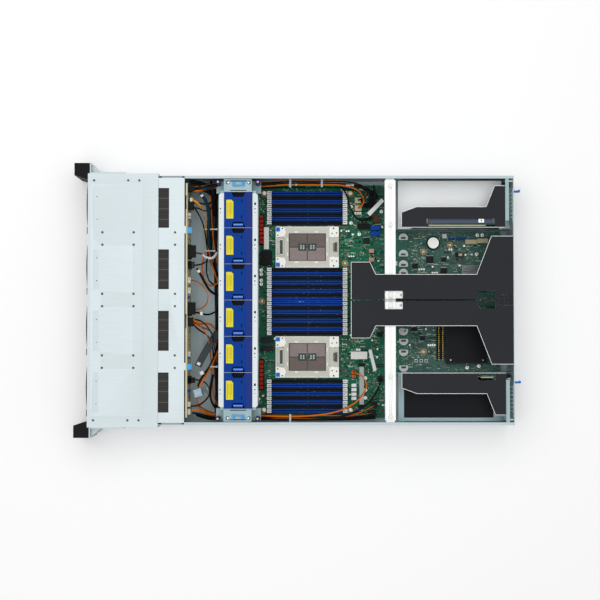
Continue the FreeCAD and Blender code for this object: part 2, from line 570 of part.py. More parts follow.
def processorSocket():
    # a frame over a base, open in the middle, with a bail recess in front and two wings behind
    rear = "(socketFront + socketDepth)"
    low = f"({boardTop} + 3.4)"
    top = f"({boardTop} + socketHeight)"
    windowFront = "(socketFront + 24)"
    windowRear = f"({windowFront} + socketWindowDepth)"
    base = block(span("0", "socketWidth - 12"), ("socketFront + 6", f"{rear} - 6"), (boardTop, low))
    frame = block(span("0", "socketWidth"), ("socketFront", rear), (low, top))
    window = block(span("0", "socketWindowWidth"), (windowFront, windowRear), (f"{low} - 1", f"{top} + 1"))
    outline = [("-24", "socketFront + 4"), ("24", "socketFront + 4"), ("15.5", "socketFront + 16"),
               ("-15.5", "socketFront + 16")]
    recess = prism("XY", outline, f"{low} + 1", f"{top} + 1", "BailRecess")
    spring = block(span("0", "18"), (f"{rear} - 8", f"{rear} - 2"), (f"{low} + 1", f"{top} + 1"))
    ledge = block(span("0", "socketWidth + 2"), (f"{windowRear} + 6", f"{rear} + 1"),
                  (f"{top} - 1.2", f"{top} + 1"))
    carrier = block(span("0", "socketWindowWidth - 1"), (f"{windowFront} + 0.5", f"{windowRear} - 0.5"),
                    (low, f"{low} + 1.4"))
    lands = [block(span("0", "10.6"), span(f"({windowFront} + {y})", "12"), (f"{low} + 1.4", f"{low} + 1.8"))
             for y in (24.5, 42.5)]
    wings = [block(span(x, "19"), (f"{windowRear} + 6", rear), (f"{top} - 1.2", f"{top} + 0.6"))
             for x in (-27.5, 27.5)]
    wingTop = f"({top} + 0.6)"
    screws = [rod(alongZ, (x, f"(socketFront + {y})", z), "2.6", "1.4")
              for x, y, z in ((-28, 11, top), (28, 11, top), (-19.6, 103.5, wingTop), (19.6, 103.5, wingTop))]
    clips = [block((a, b), ("socketFront + 1.2", "socketFront + 8"), (top, f"{top} + 2.4"))
             for a, b in ((-35.4, -28.4), (28.4, 35.4))]
    hinge = rod(alongX, ("-8", f"{rear} - 5", f"{low} + 3"), "1.6", "16")
    plate = cut(frame, window, recess, spring, ledge)
    return group(base, plate, carrier, *lands, *wings, *screws, *clips, hinge)


def onBoard(x, y, wide, deep, high, base=0):
    low = f"{boardTop} + {base}"
    return block(span(x, wide), span(f"({y})", deep), (low, f"{low} + {high}"))


def motherboard():
    socket = processorSocket()
    parts = [copy(socket, "socketLeft"), copy(socket, "socketRight")]
    # battery in its holder
    battery = ("-105.5", "614")
    parts += [rod(alongZ, (*battery, boardTop), "12.4", "3"),
              rod(alongZ, (*battery, f"{boardTop} + 3"), "10", "2.2")]
    # packages: X, Y, width across, depth along, height
    chips = ((-75.5, 608, 13, 13, 1.6), (-64, 581, 10, 10, 1.6), (-54.7, 633, 12, 12, 1.8),
             (-75.6, 633, 9, 9, 1.4),
             (50.4, 579, 8, 10, 1.5), (66.7, 594, 9, 9, 1.5), (-109.4, 493, 12, 12, 1.6),
             (-84.1, 661, 8, 14, 4))
    parts += [onBoard(*chip) for chip in chips]
    # connectors and headers
    plugs = ((-107.3, 682, 8, 21, 8), (-109, 703, 8, 20, 8), (-182, 478, 10, 12, 11), (-168, 478, 10, 12, 11),
             (-148.7, 511, 14, 12, 12), (-131.6, 509, 7, 17, 13), (-121.5, 509, 7, 17, 13),
             (-135.2, 488, 9, 22, 10),
             (-90.9, 502, 7, 9, 9), (-75, 502, 7, 9, 9), (69.8, 314, 10, 22, 9), (85.4, 314, 10, 22, 9),
             (60, 517, 8, 9, 9), (140, 517, 10, 9, 10), (-190, 505, 11, 14, 12), (-174, 505, 11, 14, 12),
             (202, 502, 11, 14, 12), (186, 506, 10, 12, 12))
    parts += [onBoard(*plug) for plug in plugs]
    # fan headers, one for each fan and one spare at each side
    parts += [onBoard(x + 7.6 * k, 303.5, 6, 7, 8) for x in (-152.5, 109.6) for k in range(7)]
    # white headers and two amber blocks
    parts += [onBoard(x, 470, 6, 9, 9) for x in (151.5, 159.3, 167.4, 174.9)]
    parts += [onBoard(x, 470, 6, 7, 7) for x in (128, 135.2)]
    # a light slot for an inner card
    parts += [onBoard(152, 484, 68, 8, 9), onBoard(114.5, 484, 5, 11, 10), onBoard(189.5, 484, 5, 11, 10)]
    # capacitors
    cans = ((-119.5, 693), (-119.5, 702), (120, 674), (117, 695), (-170.8, 465), (-121, 480), (-162, 520),
            (-85, 692),
            (-141.5, 465), (138.5, 491), (160, 491), (174, 491), (-56, 303), (-49, 303), (-37.7, 303),
            (-30.8, 303))
    for x, y in cans:
        parts.append(rod(alongZ, (x, y, boardTop), "3", "7"))
    # pin-fin heat sink on the controller
    sink = [onBoard(-54, 682, 22, 36, 3, 2)]
    pinHeights = (f"{boardTop} + 5", f"{boardTop} + 14")
    sink += [block(span(f"(-54 + {i}*3.4)", "1.6"), span(f"(682 + {j}*3.4)", "1.6"), pinHeights)
             for i in range(-3, 4) for j in range(-5, 6)]
    parts += [onBoard(-54, 682, 16, 16, 2), fuse(*sink)]
    # screws that hold the board
    for x, y in boardScrews:
        parts.append(rod(alongZ, (x, y, boardTop), "3.6", "1.8"))
    # cable guides behind the cross bar, round on their outer side, with an oblong eye
    for x in (-114.6, -84.8, -65.8, -50.6, 53.2, 71.2, 90.8, 119.3):
        edge = -1 if x < 0 else 1
        disc = rod(alongZ, (x, 560, boardTop), "guideRadius", "guideHeight")
        side = (x - 20, x - 3.5) if edge > 0 else (x + 3.5, x + 20)
        flat = block(side, (540, 580), (f"{boardTop} - 1", f"{boardTop} + 5"))
        eye = block(span(x, "3.8"), span("560", "8.6"), (f"{boardTop} - 1", f"{boardTop} + 5"))
        parts.append(cut(disc, flat, eye))
    node("motherboard", boardPlate(), *parts)


def crossBar():
    top = "(riserTop - riserThickness - clearance)"
    low = f"({top} - barThickness)"
    half = "barHalf"
    rear = "(barFront + barDepth)"
    plate = block((f"-{half}", half), ("barFront", rear), (low, f"{low} + 1.2"))
    lips = [block((f"-{half}", half), (a, b), (low, top))
            for a, b in (("barFront", "barFront + 1.2"), (f"{rear} - 1.2", rear))]
    screwX = ("-202", "-133", "133", "204")
    screws = [rod(alongZ, (x, "532", f"{low} + 1.2"), "4", "4") for x in screwX]
    holes = [rod(alongZ, (x, "532", f"{low} - 1"), "2.6", "4") for x in screwX]
    end = fuse(block((f"{bodyHalf} - wall - 2", f"{bodyHalf} - wall"), ("barFront", rear),
                     (f"{low} - 20", low)),
               block((f"{half} - 8", f"{bodyHalf} - wall"), ("barFront + 2", f"{rear} - 2"),
                     (f"{low} - 2", low)))
    tongues = [block((a, b), (rear, f"{rear} + 14"), (low, f"{low} + 1.2")) for a, b in ((-17, -3), (3, 17))]
    bar = fuse(plate, *lips, *tongues)
    node("cross_bar", cut(bar, *holes), *screws, end, mirror(end))


def riserOutline():
    rear = "(bodyDepth - riserGap)"
    return [("1.2", "riserFront"), ("67", "riserFront"), ("67", "496"), ("45.5", "506"), ("45.5", "683"),
            ("112.8", "709"), ("112.8", rear), ("10", rear), ("10", "722"), ("1.2", "722")]


def riserBrackets():
    low = "(riserTop - riserThickness)"
    rear = "(bodyDepth - riserGap)"
    # the two risers over the middle of the board
    plate = prism("XY", riserOutline(), low, "riserTop", "Riser")
    windows = [block(("2", "riserLip"), y, (f"{low} - 1", "riserTop + 1"))
               for y in (("521.6", "553.4"), ("684", "715.5"))]
    inner = block(("1.2", "2.7"), ("545", "682"), (f"{boardTop} + 20", low))
    screw = rod(alongZ, ("9", "532", f"{low} - clearance - barThickness + 1.2"), "4.6", "4")
    shelf = block(("111.3", "112.8"), ("711", f"{rear} - 6"), ("30", low))
    end = block(("10", "112.8"), (f"{rear} - 6", f"{rear} - 4.8"), ("riserTop - 9", low))
    edge = block(("65.5", "67"), ("riserFront", "496"), (f"{low} - 12", low))
    pair = [cut(plate, *windows), inner, screw, shelf, end, edge]
    latch = block(("-8.5", "8.5"), ("722.5", f"{rear} - 0.5"), (f"{low} - 3", "riserTop - 1"))
    finger = rod(alongX, ("-6", "734", "riserTop - 2"), "2.6", "12")
    # the outer risers over the power supplies, each on a leg that stands on its bay's wall
    outline = [("127.5", "551"), ("154.4", "551"), ("164.3", "578"), ("164.3", "700"), ("201.5", "715"),
               ("201.5", "733.6"), ("127.5", "733.6")]
    side = prism("XY", outline, low, "riserTop", "SideRiser")
    leg = block(("bayWall", "bayWall + 1"), ("572", "726"), ("bayTop + 14", low))
    longWindow = block(("129.2", "143"), ("595.6", "715"), (f"{low} - 1", "riserTop + 1"))
    shortWindow = block(("129.2", "141"), ("684.7", "715.9"), (f"{low} - 1", "riserTop + 1"))
    left = mirror(group(cut(side, longWindow), leg))
    right = group(cut(copy(side), shortWindow), copy(leg))
    node("riser_brackets", *pair, *[mirror(p) for p in pair], fuse(latch, finger), left, right)


def riserCards():
    low = "(riserTop - riserThickness)"
    parts = []
    card = block(("4.4", "6"), ("556", "680"), (f"{boardTop} + 8", f"{low} - 4"))
    socket = block(("2.7", "9"), ("560", "660"), (boardTop, f"{boardTop} + 8"))
    parts += [card, mirror(card), socket, mirror(socket)]
    for z in (30, 52):
        slot = block(("6", "17"), ("568", "658"), (z, f"{z} + 7.4"))
        parts += [slot, mirror(slot)]
    # riser boards of the outer risers, with their card slots
    side = block(("133", "134.6"), ("590", "728"), ("bayTop + 2.2", f"{low} - 2"))
    slot = block(("134.6", "145.6"), ("600", "712"), ("64", "71.4"))
    foot = block(("131.5", "136.5"), ("592", "600"), ("bayTop + 1.2", "bayTop + 2.2"))
    parts += [side, mirror(side), slot, mirror(slot), foot, mirror(foot)]
    # mezzanine card socket and its cage
    parts.append(onBoard(75, 626.5, 58, 13, 9))
    cageDepth = ("636", "bodyDepth - 39")
    parts += [block(("34", "112"), cageDepth, (f"{boardTop} + {z}", f"{boardTop} + {z} + 1"))
              for z in (1.5, 10)]
    parts += [block((a, a + 1), cageDepth, (f"{boardTop} + 2.5", f"{boardTop} + 10")) for a in (34, 111)]
    parts += [block((a, a + 3), cageDepth, (boardTop, f"{boardTop} + 1.5")) for a in (34, 109)]
    # insulating sheet over the right power supply's bay
    parts.append(block(("150", "208"), ("558", "717"), ("bayTop + 1.2", "bayTop + 1.8")))
    node("riser_cards", *parts)


ports = ((-118, -102, 6, 20), (-98, -82, 6, 20), (-78, -62, 6, 20), (-58, -42, 6, 20), (-38, -20, 6, 18))


def slotLevels():
    # bottom edges of the card slots' openings over the supplies and over the board
    return [f"(bayTop + 4 + {k}*slotRise)" for k in range(2)], [f"(29 + {k}*slotRise)" for k in range(3)]


def rearPanel():
    rear = "bodyDepth"
    through = (f"{rear} - wall - 1", f"{rear} + 1")
    panel = block((f"-({bodyHalf} - wall)", f"{bodyHalf} - wall"), (f"{rear} - wall", rear),
                  ("wall", wallTop))
    sideLevels, middleLevels = slotLevels()
    openings = [block((34, 112), through, (8, 22))]
    for left in ("supplyLeft", "supplyRight"):
        openings.append(block((f"{left} - 1", f"{left} + supplyWidth + 1"), through,
                              ("0", "wall + supplyFloor + supplyHeight + 1.2")))
        openings += [block((f"{left} + 6", f"{left} + 66"), through, (z, f"{z} + 13")) for z in sideLevels]
    for wide in ((-107, -12), (12, 107)):
        openings += [block(wide, through, (z, f"{z} + 13")) for z in middleLevels]
    openings += [block((a, b), through, (c, d)) for a, b, c, d in ports]
    node("rear_panel", cut(panel, *openings))


def slotCover(low, high, z, first, pitch, count):
    rear = "bodyDepth"
    cover = block((low, high), (f"{rear} - wall - 1", f"{rear} - wall"), (f"{z} - 1", f"{z} + 14"))
    vents = [block((f"{low} + {first} + {j}*{pitch}", f"{low} + {first} + 3.4 + {j}*{pitch}"),
                   (f"{rear} - 5", f"{rear} + 1"), (f"{z} + 2", f"{z} + 11")) for j in range(count)]
    return cut(cover, *vents)


def supplyBay():
    # sheet walls round the right power supply, with a shelf over it
    rear = "(bodyDepth - wall)"
    shelfRear = "(bodyDepth - 16)"
    bay = block(("bayWall", "bayWall + 1"), ("barFront + barDepth", rear), ("wall", "bayTop"))
    shelf = block(("bayWall", "214.6"), ("bayFront", shelfRear), ("bayTop", "bayTop + 1.2"))
    outer = block(("213.6", "214.6"), ("bayFront + 10", rear), ("wall", "bayTop"))
    upper = block(("bayWall", "bayWall + 1"), ("570", "bodyDepth - 21"), ("bayTop + 1.2", "bayTop + 14"))
    return [bay, shelf, outer, upper]


def rearFrame():
    rear = "bodyDepth"
    sideLevels, middleLevels = slotLevels()
    shells = [cut(block((a + 0.5, b - 0.5), (f"{rear} - 20", f"{rear} - wall"), (boardTop, d)),
                  block((a + 1.5, b - 1.5), (f"{rear} - 16", f"{rear} + 1"), (f"{boardTop} + 1", d - 1)))
              for a, b, c, d in ports]
    covers = [slotCover(f"({left} + 5)", f"({left} + 67)", z, 7, 7, 7)
              for left in ("supplyLeft", "supplyRight") for z in sideLevels]
    covers += [slotCover(low, high, z, 8, 7.4, 11)
               for low, high in ((-108, -11), (11, 108)) for z in middleLevels]
    # a top flange over each bay, folded down and held to the wall
    top = block(("140", "214"), (f"{rear} - 15", f"{rear} - 8.6"), (f"{wallTop} - 2", f"{wallTop} - 0.8"))
    fold = block(("140", "214"), (f"{rear} - 9.8", f"{rear} - 8.6"), (f"{wallTop} - 14", f"{wallTop} - 2"))
    link = block(("208", "211"), (f"{rear} - 8.6", f"{rear} - wall"), (f"{wallTop} - 14", f"{wallTop} - 2"))
    side = [*supplyBay(), top, fold, link]
    node("rear_frame", *shells, *covers, *side, *[mirror(w) for w in side])


def supplyMaster():
    rear = "bodyDepth"
    front = f"({rear} - supplyDepth)"
    floor = "(wall + supplyFloor)"
    shell = block(("0", "supplyWidth"), (front, rear), (floor, f"{floor} + supplyHeight"))
    inlet = block(("9", "31"), (f"{rear} - 14", f"{rear} + 1"), (f"{floor} + 6", f"{floor} + 22"))
    middle = f"({floor} + supplyHeight/2)"
    grille = rod(alongY, ("53", f"{rear} - 12", middle), "17", "13")
    body = cut(shell, inlet, grille)
    rings = []
    for radius in (6, 10.5, 15):
        ring = cut(rod(alongY, ("53", f"{rear} - 1.6", middle), f"{radius} + 0.6", "1.2"),
                   rod(alongY, ("53", f"{rear} - 3", middle), f"{radius} - 0.6", "5"))
        rings.append(ring)
    bars = [block(span("53", wide), (f"{rear} - 1.6", f"{rear} - 0.4"), span(middle, high))
            for wide, high in (("33.6", "1.4"), ("1.4", "33.6"))]
    rotor = rod(alongY, ("53", f"{rear} - 12", middle), "8", "6")
    pins = [block((x, f"{x} + 2"), (f"{rear} - 14", f"{rear} - 3"), (f"{floor} + 11", f"{floor} + 15"))
            for x in ("13", "19", "25")]
    edge = block(("14", "60"), (f"{front} - 8", front), (f"{floor} + 6", f"{floor} + 8"))
    return group(body, fuse(*rings, *bars), rotor, *pins, edge)


def supplyTabMaster():
    rear = "bodyDepth"
    floor = "(wall + supplyFloor)"
    reach = (f"{floor} + 24", f"{floor} + 36")
    plate = block(("5.4", "5.4 + tabWidth"), (f"{rear} + clearance", f"{rear} + tabReach"), reach)
    thumb = block(("5.4 - 2", "5.4 + tabWidth"), (f"{rear} + tabReach - 3", f"{rear} + tabReach"), reach)
    ribs = [block(("5.4 - 1", "5.4"), (f"{rear} + {y}", f"{rear} + {y} + 1"),
                  (f"{floor} + 25", f"{floor} + 35"))
            for y in (6, 9, 12)]
    return fuse(plate, thumb, *ribs)


def powerSupplies():
    supply = supplyMaster()
    tab = supplyTabMaster()
    for number, left in ((1, "supplyLeft"), (2, "supplyRight")):
        put(node(f"psu_{number}", supply), left)
        put(node(f"psu_lever_{number}", tab), left)


def cable(radius, points):
    # straight runs joined by arcs that touch them, swept with a round section
    corners = [Vector(*p) for p in points]
    edges = []
    start = corners[0]
    for before, corner, after in zip(corners, corners[1:], corners[2:]):
        intoLength = (corner - before).Length
        outLength = (after - corner).Length
        inward = (before - corner).normalize()
        outward = (after - corner).normalize()
        turn = math.pi - inward.getAngle(outward)
        back = 0.45*min(intoLength, outLength)
        first = corner + inward*back
        last = corner + outward*back
        bend = back/math.tan(turn/2)
        middle = corner + (inward + outward).normalize()*(math.hypot(back, bend) - bend)
        edges.append(Part.LineSegment(start, first).toShape())
        edges.append(Part.Arc(first, middle, last).toShape())
        start = last
    edges.append(Part.LineSegment(start, corners[-1]).toShape())
    path = Part.Wire(edges)
    section = Part.Wire([Part.makeCircle(radius, corners[0], corners[1] - corners[0])])
    tube = path.makePipeShell([section], True, False)
    length = sum(edge.Length for edge in edges)
    expected = math.pi*radius**2*length
    if abs(tube.Volume - expected) > 0.02*expected:
        raise RuntimeError("a cable's tube has the wrong volume")
    thing = doc.addObject("Part::Feature", "Cable")
    thing.Shape = tube
    return thing


def tie(x, y, z, wide, high):
    band = block(span(x, wide + 2.4), (y, y + 3.5), span(z, high + 2.4))
    return cut(band, block(span(x, wide), (y - 1, y + 4.5), span(z, high)))


def cables():
    # Every cable is held at both ends. Each list starts at a plug on the backplane.
    leftRuns = (
        # along the left wall, over the fan wall's end and down to the board
        (2.4, [(-199, 183.3, 73), (-199, 194, 73), (-205, 209, 56), (-209, 224, 41), (-210, 250, 36),
               (-210, 284, 37), (-211, 316, 48), (-212, 350, 60), (-211, 400, 61), (-212, 445, 61),
               (-208, 478, 57), (-197, 496, 45), (-186, 492, 35), (-182, 480, 29), (-182, 478, 21.3)]),
        (2.2, [(-193, 183.3, 73), (-193, 193, 73), (-198, 206, 55), (-203, 224, 38), (-204, 250, 31),
               (-204, 284, 33), (-205, 318, 47), (-206, 352, 60), (-205, 400, 61), (-206, 440, 61),
               (-201, 470, 56), (-189, 486, 44), (-175, 488, 34), (-168, 480, 29), (-168, 478, 21.6)]),
        # across the floor to the left wall, then back under the first two
        (2.2, [(-173, 185.3, 66), (-173, 194, 66), (-170, 206, 58), (-176, 217, 46), (-188, 224, 35),
               (-200, 233, 27), (-210, 247, 24), (-211, 284, 24), (-212, 318, 26), (-211, 352, 30),
               (-212, 400, 31), (-210, 440, 32), (-206, 468, 35), (-201, 488, 35), (-190, 505, 34),
               (-190, 505, 21.9)]),
        (2, [(-164, 185.3, 68), (-164, 193, 67), (-158, 204, 57), (-165, 215, 43), (-181, 222, 29),
             (-196, 231, 20), (-204, 247, 16), (-205, 284, 17), (-204, 318, 20), (-205, 352, 24),
             (-204, 400, 24), (-205, 442, 25), (-200, 474, 24), (-190, 489, 25), (-180, 498, 28),
             (-174, 505, 34), (-174, 505, 21.9)]))
    rightRuns = (
        # along the right wall, turning in to the board behind the memory
        (2.4, [(199, 183.3, 73), (199, 194, 73), (205, 209, 56), (209, 224, 41), (210, 250, 36),
               (210, 284, 37), (211, 316, 48), (212, 350, 60), (211, 400, 61), (207, 445, 60),
               (196, 478, 54), (178, 500, 46), (158, 513, 38), (143, 517, 30), (140, 517, 20.6)]),
        (2.2, [(193, 183.3, 73), (193, 193, 73), (198, 206, 55), (203, 224, 38), (204, 250, 31),
               (204, 284, 33), (205, 318, 47), (206, 352, 60), (204, 396, 61), (199, 434, 60),
               (187, 464, 56), (168, 486, 50), (148, 494, 42), (134, 484, 32), (128.4, 472, 26),
               (128, 470, 17.3)]),
        # from the middle of the backplane along the fan wall, then back beside the memory
        (2.2, [(34, 185.3, 66), (34, 195, 66), (43, 207, 57), (62, 218, 44), (98, 222, 35), (140, 221, 30),
               (176, 223, 28), (196, 231, 26), (209, 248, 24), (211, 284, 24), (212, 318, 26),
               (211, 352, 30), (212, 400, 31), (209, 440, 33), (207, 466, 38), (204, 486, 42),
               (202, 502, 37), (202, 502, 21.9)]),
        (2, [(42, 185.3, 68), (42, 193, 67), (51, 202, 57), (70, 211, 45), (104, 214, 32), (146, 215, 24),
             (178, 219, 20), (195, 231, 18), (204, 247, 16), (205, 284, 17), (204, 318, 20), (205, 352, 24),
             (204, 400, 24), (205, 438, 25), (204, 466, 29), (195, 489, 34), (186, 506, 34),
             (186, 506, 21.9)]))
    jumpers = (
        # short links between neighbouring plugs of the backplane
        (2, [(-84, 182.3, 67), (-84, 194, 66), (-80, 207, 57), (-70, 209, 57), (-62, 195, 66),
             (-62, 182.3, 67)]),
        (2, [(17, 182.3, 67), (17, 195, 64), (8, 208, 54), (-12, 211, 53), (-27, 200, 61), (-34, 189, 71),
             (-34, 180.3, 72)]),
        (2.2, [(140, 182.3, 67), (140, 196, 64), (149, 211, 55), (168, 214, 55), (182, 201, 63),
               (186.5, 189, 71), (186.5, 180.3, 72)]))
    tubes = [cable(radius, points) for radius, points in leftRuns + rightRuns + jumpers]
    ties = [tie(-208.6, 354, 60, 12.8, 7), tie(-208.4, 410, 60.8, 11.6, 5.4), tie(208.6, 354, 60, 12.8, 7)]
    node("cables", *tubes, *ties)


def writeNodes():
    doc.recompute()
    for thing in doc.Objects:
        if "Invalid" in thing.State or "Error" in thing.State:
            raise RuntimeError(f"{thing.Label} failed: {thing.State}")
    for thing in nodes:
        if thing.Shape.isNull() or not thing.Shape.isValid():
            raise RuntimeError(f"{thing.Label} has no valid shape")
    os.makedirs("parts", exist_ok=True)
    for thing in nodes:
        thing.Shape.exportStep(f"parts/{thing.Label}.step")


chassisBase()
frontCover()
ventCover()
driveCage()
driveTrays()
backplane()
rackEars()
earCaps()
fanWallFrame()
fans()
motherboard()
memorySlots()
crossBar()
riserBrackets()
riserCards()
rearPanel()
rearFrame()
powerSupplies()
cables()
writeNodes()
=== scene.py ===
import json
import math
import random

import bmesh
import bpy
from mathutils import Matrix, Vector


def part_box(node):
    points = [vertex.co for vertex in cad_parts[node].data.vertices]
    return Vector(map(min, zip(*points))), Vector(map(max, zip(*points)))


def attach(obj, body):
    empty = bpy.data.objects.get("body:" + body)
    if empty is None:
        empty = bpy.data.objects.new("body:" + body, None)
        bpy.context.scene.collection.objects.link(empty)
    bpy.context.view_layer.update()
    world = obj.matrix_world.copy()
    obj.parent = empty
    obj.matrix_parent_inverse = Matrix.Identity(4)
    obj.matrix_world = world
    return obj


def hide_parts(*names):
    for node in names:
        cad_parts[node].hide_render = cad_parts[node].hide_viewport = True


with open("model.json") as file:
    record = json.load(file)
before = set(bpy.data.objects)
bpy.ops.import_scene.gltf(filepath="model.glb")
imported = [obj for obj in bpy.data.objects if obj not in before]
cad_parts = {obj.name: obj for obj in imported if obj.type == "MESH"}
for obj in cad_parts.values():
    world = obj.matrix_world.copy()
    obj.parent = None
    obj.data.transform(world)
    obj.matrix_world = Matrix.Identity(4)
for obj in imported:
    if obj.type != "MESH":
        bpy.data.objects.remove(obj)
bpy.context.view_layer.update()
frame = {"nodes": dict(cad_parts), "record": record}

# A two-unit rack server seen from above with its top cover off.
# All sizes in the dictionaries are millimetres. X runs across, Y from front to rear, Z up.

mm = 0.001
bodyOf = {node: body for body, members in frame["record"]["behaviour"]["bodies"].items() for node in members}
camera = {"height": 2544.0, "focal": 1402.0, "middleY": 373.0, "aimHeight": 87.0, "aside": 77.0, "span": 600}


def at(across, down, z):
    # the place at height z that the photograph shows at this pixel
    scale = (camera["height"] - z)/camera["focal"]
    half = camera["span"]/2
    return ((down - half)*scale, camera["middleY"] + (across - half)*scale, z)


def lowOf(node):
    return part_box(node)[0]/mm


def highOf(node):
    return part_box(node)[1]/mm


print("frame loaded")


# Colours and shader groups

def ink(red, green, blue):
    # a colour read as 0 to 255, as the shader wants it
    parts = [v/255 for v in (red, green, blue)]
    return tuple(v/12.92 if v <= 0.04045 else ((v + 0.055)/1.055)**2.4 for v in parts) + (1,)


class Wiring:
    # short names for adding and joining the nodes of one tree
    def __init__(self, tree):
        self.tree = tree

    def add(self, kind, **values):
        node = self.tree.nodes.new(kind)
        for name, value in values.items():
            setattr(node, name, value)
        return node

    def join(self, source, target):
        self.tree.links.new(source, target)

    def feed(self, socket, value):
        if isinstance(value, bpy.types.NodeSocket):
            self.join(value, socket)
        else:
            socket.default_value = value

    def math(self, operation, first, second=0.0):
        node = self.add("ShaderNodeMath", operation=operation)
        self.feed(node.inputs[0], first)
        self.feed(node.inputs[1], second)
        return node.outputs[0]

    def vector(self, operation, first, second):
        node = self.add("ShaderNodeVectorMath", operation=operation)
        self.feed(node.inputs[0], first)
        self.feed(node.inputs[1], second)
        return node.outputs[0]

    def mix(self, factor, first, second, blend="MIX"):
        node = self.add("ShaderNodeMix", data_type="RGBA", blend_type=blend)
        for place, value in ((0, factor), (6, first), (7, second)):
            self.feed(node.inputs[place], value)
        return node.outputs[2]

    def grey(self, value):
        node = self.add("ShaderNodeCombineColor")
        for socket in node.inputs:
            self.join(value, socket)
        return node.outputs[0]

    def ramp(self, value, start, end):
        node = self.add("ShaderNodeMapRange")
        self.join(value, node.inputs[0])
        node.inputs[1].default_value = start
        node.inputs[2].default_value = end
        return node.outputs[0]

    def noise(self, where, scale, detail=2.0):
        node = self.add("ShaderNodeTexNoise")
        self.join(where, node.inputs["Vector"])
        self.feed(node.inputs["Scale"], scale)
        node.inputs["Detail"].default_value = detail
        return node.outputs[0]


def newGroup(name, inputs, outputs):
    tree = bpy.data.node_groups.new(name, "ShaderNodeTree")
    for label, kind, default in inputs:
        socket = tree.interface.new_socket(name=label, in_out="INPUT", socket_type="NodeSocket" + kind)
        if default is not None:
            socket.default_value = default
    for label, kind in outputs:
        tree.interface.new_socket(name=label, in_out="OUTPUT", socket_type="NodeSocket" + kind)
    w = Wiring(tree)
    return tree, w, w.add("NodeGroupInput").outputs, w.add("NodeGroupOutput").inputs


def grainGroup():
    # fine grain, slow mottling, handling marks and worn edges for any surface
    tree, w, given, out = newGroup("surfaceGrain", (
        ("Position", "Vector", None), ("Base", "Color", (0.5, 0.5, 0.5, 1)), ("Rough", "Float", 0.5),
        ("Grain Size", "Float", 900.0), ("Grain Depth", "Float", 0.2), ("Mottle", "Float", 0.06),
        ("Marks", "Float", 0.1), ("Edge Wear", "Float", 0.0)),
        (("Color", "Color"), ("Roughness", "Float"), ("Height", "Float")))
    where = given["Position"]
    fine = w.noise(where, given["Grain Size"], 3)
    slow = w.noise(where, 14.0)
    marks = w.noise(w.vector("MULTIPLY", where, (1.0, 0.12, 1.0)), 260.0, 4)
    scuff = w.math("MULTIPLY", w.ramp(marks, 0.66, 0.74), given["Marks"])
    point = w.add("ShaderNodeNewGeometry").outputs["Pointiness"]
    worn = w.math("MULTIPLY", w.ramp(point, 0.52, 0.6), given["Edge Wear"])
    shade = w.math("MULTIPLY", w.math("SUBTRACT", slow, 0.5), given["Mottle"])
    tone = w.math("ADD", w.math("ADD", 1.0, shade), w.math("MULTIPLY", scuff, 0.4))
    toned = w.mix(1.0, given["Base"], w.grey(tone), "MULTIPLY")
    w.join(w.mix(worn, toned, w.mix(1.0, toned, (1.5, 1.5, 1.5, 1), "MULTIPLY")), out["Color"])
    rough = w.math("ADD", given["Rough"], w.math("MULTIPLY", w.math("SUBTRACT", fine, 0.5), 0.12))
    w.join(w.math("ADD", rough, w.math("MULTIPLY", scuff, 0.25)), out["Roughness"])
    w.join(w.math("MULTIPLY", fine, given["Grain Depth"]), out["Height"])
    return tree


def brushGroup():
    # fine lines along one axis, as rolled or brushed sheet has
    tree, w, given, out = newGroup("brushedLines", (
        ("Position", "Vector", None), ("Along", "Vector", (1.0, 0.02, 1.0)), ("Depth", "Float", 0.2)),
        (("Height", "Float"), ("Tone", "Float")))
    lines = w.noise(w.vector("MULTIPLY", given["Position"], given["Along"]), 1500.0)
    w.join(w.math("MULTIPLY", lines, given["Depth"]), out["Height"])
    w.join(w.ramp(lines, 0.3, 0.7), out["Tone"])
    return tree


